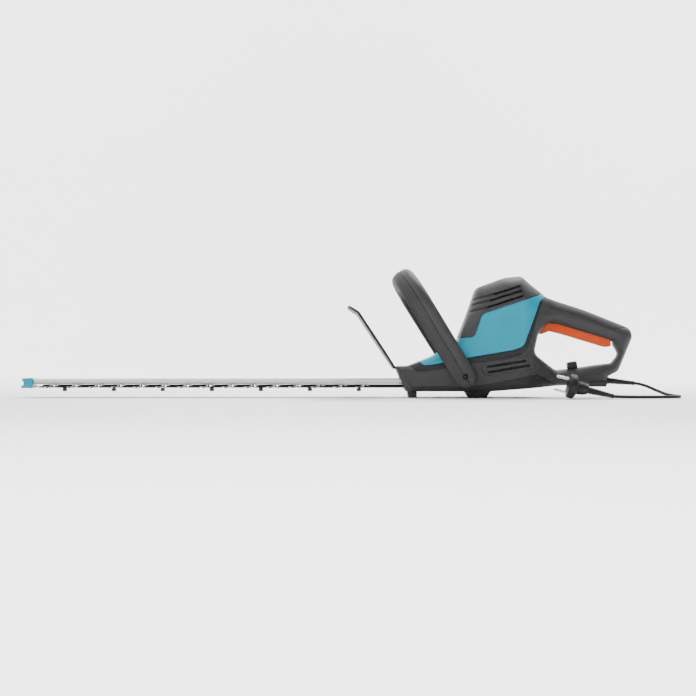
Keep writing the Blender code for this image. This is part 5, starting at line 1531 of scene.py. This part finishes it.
class TRIMMER_OT_stage(bpy.types.Operator):
    """Pale curved floor and soft studio lights."""

    bl_idname = "trimmer.stage"
    bl_label = "Stage"

    def execute(self, context):
        turns = np.linspace(0.1, math.pi / 2, 14)
        profile = [(FLOOR_FRONT_Y, 0.0), (SWEEP_Y, 0.0)]
        profile += [
            (SWEEP_Y + SWEEP_RADIUS * math.sin(t), SWEEP_RADIUS - SWEEP_RADIUS * math.cos(t)) for t in turns
        ]
        profile.append((SWEEP_Y + SWEEP_RADIUS, BACKDROP_TOP_Z))
        ends = (-FLOOR_HALF_WIDTH, FLOOR_HALF_WIDTH)
        vertices = [(x, y, z - FLOOR_DROP) for x in ends for y, z in profile]
        count = len(profile)
        faces = [(k, count + k, count + k + 1, k + 1) for k in range(count - 1)]
        mesh = bpy.data.meshes.new("floor")
        mesh.from_pydata(vertices, [], faces)
        mesh.shade_smooth()
        floor = bpy.data.objects.new("floor", mesh)
        context.collection.objects.link(floor)
        work = Finish("floor")
        work.shader.inputs["Base Color"].default_value = (0.95, 0.95, 0.95, 1)
        work.shader.inputs["Roughness"].default_value = 0.9
        mesh.materials.append(work.material)
        for name, energy, size, spread, where, target in LIGHTS:
            light = bpy.data.lights.new(name, "AREA")
            light.energy = energy
            light.size = size
            light.spread = math.radians(spread)
            lamp = bpy.data.objects.new(name, light)
            lamp.location = where
            lamp.rotation_euler = (Vector(target) - Vector(where)).to_track_quat("-Z", "Y").to_euler()
            context.collection.objects.link(lamp)
        world = context.scene.world or bpy.data.worlds.new("studio")
        context.scene.world = world
        world.use_nodes = True
        sky = world.node_tree.nodes["Background"]
        sky.inputs["Color"].default_value = (1, 1, 1, 1)
        sky.inputs["Strength"].default_value = WORLD_STRENGTH
        return {"FINISHED"}


LIGHTS = [  # name, energy, size, spread, place, target
    ("key", 23.0, 0.8, 180, (-1.0, -0.9, 1.5), (0.15, 0, 0.08)),
    ("rim", 26.0, 0.7, 180, (0.5, 0.55, 1.4), (0.2, 0, 0.08)),
    ("fill", 4.0, 1.2, 180, (0.9, -2.2, 0.6), (0.2, 0, 0.08)),
    ("floor_front", 40.0, 1.8, 80, (0.0, -1.7, 1.6), (0.0, -1.65, 0)),
    ("backdrop_left", 150.0, 1.6, 180, (-1.6, 0.9, 1.9), (-1.0, 3.0, 0.6)),
    ("backdrop_right", 150.0, 1.6, 180, (1.6, 0.9, 1.9), (1.0, 3.0, 0.6)),
]

STEPS = (
    TRIMMER_OT_camera, TRIMMER_OT_cord, TRIMMER_OT_case, TRIMMER_OT_baffles, TRIMMER_OT_mouldings,
    TRIMMER_OT_front_handle, TRIMMER_OT_hand_guard, TRIMMER_OT_blades, TRIMMER_OT_fittings,
    TRIMMER_OT_works, TRIMMER_OT_stage,
)


class TRIMMER_PT_panel(bpy.types.Panel):
    """Lists the trimmer's sizes, colours and steps."""

    bl_label = "Hedge Trimmer"
    bl_idname = "TRIMMER_PT_panel"
    bl_space_type = "VIEW_3D"
    bl_region_type = "UI"
    bl_category = "Trimmer"

    def draw(self, context):
        for group in (context.scene.trimmer_sizes, context.scene.trimmer_colours):
            for key in group.__annotations__:
                self.layout.prop(group, key)
        for step in STEPS:
            self.layout.operator(step.bl_idname)


CLASSES = (TrimmerSizes, TrimmerColours) + STEPS + (TRIMMER_PT_panel,)


def register():
    for cls in CLASSES:
        bpy.utils.register_class(cls)
    bpy.types.Scene.trimmer_sizes = bpy.props.PointerProperty(type=TrimmerSizes)
    bpy.types.Scene.trimmer_colours = bpy.props.PointerProperty(type=TrimmerColours)


def unregister():
    del bpy.types.Scene.trimmer_colours
    del bpy.types.Scene.trimmer_sizes
    for cls in reversed(CLASSES):
        bpy.utils.unregister_class(cls)


def main():
    register()
    for step in STEPS:
        getattr(bpy.ops.trimmer, step.bl_idname.split(".")[1])()


if __name__ == "__main__":
    main()
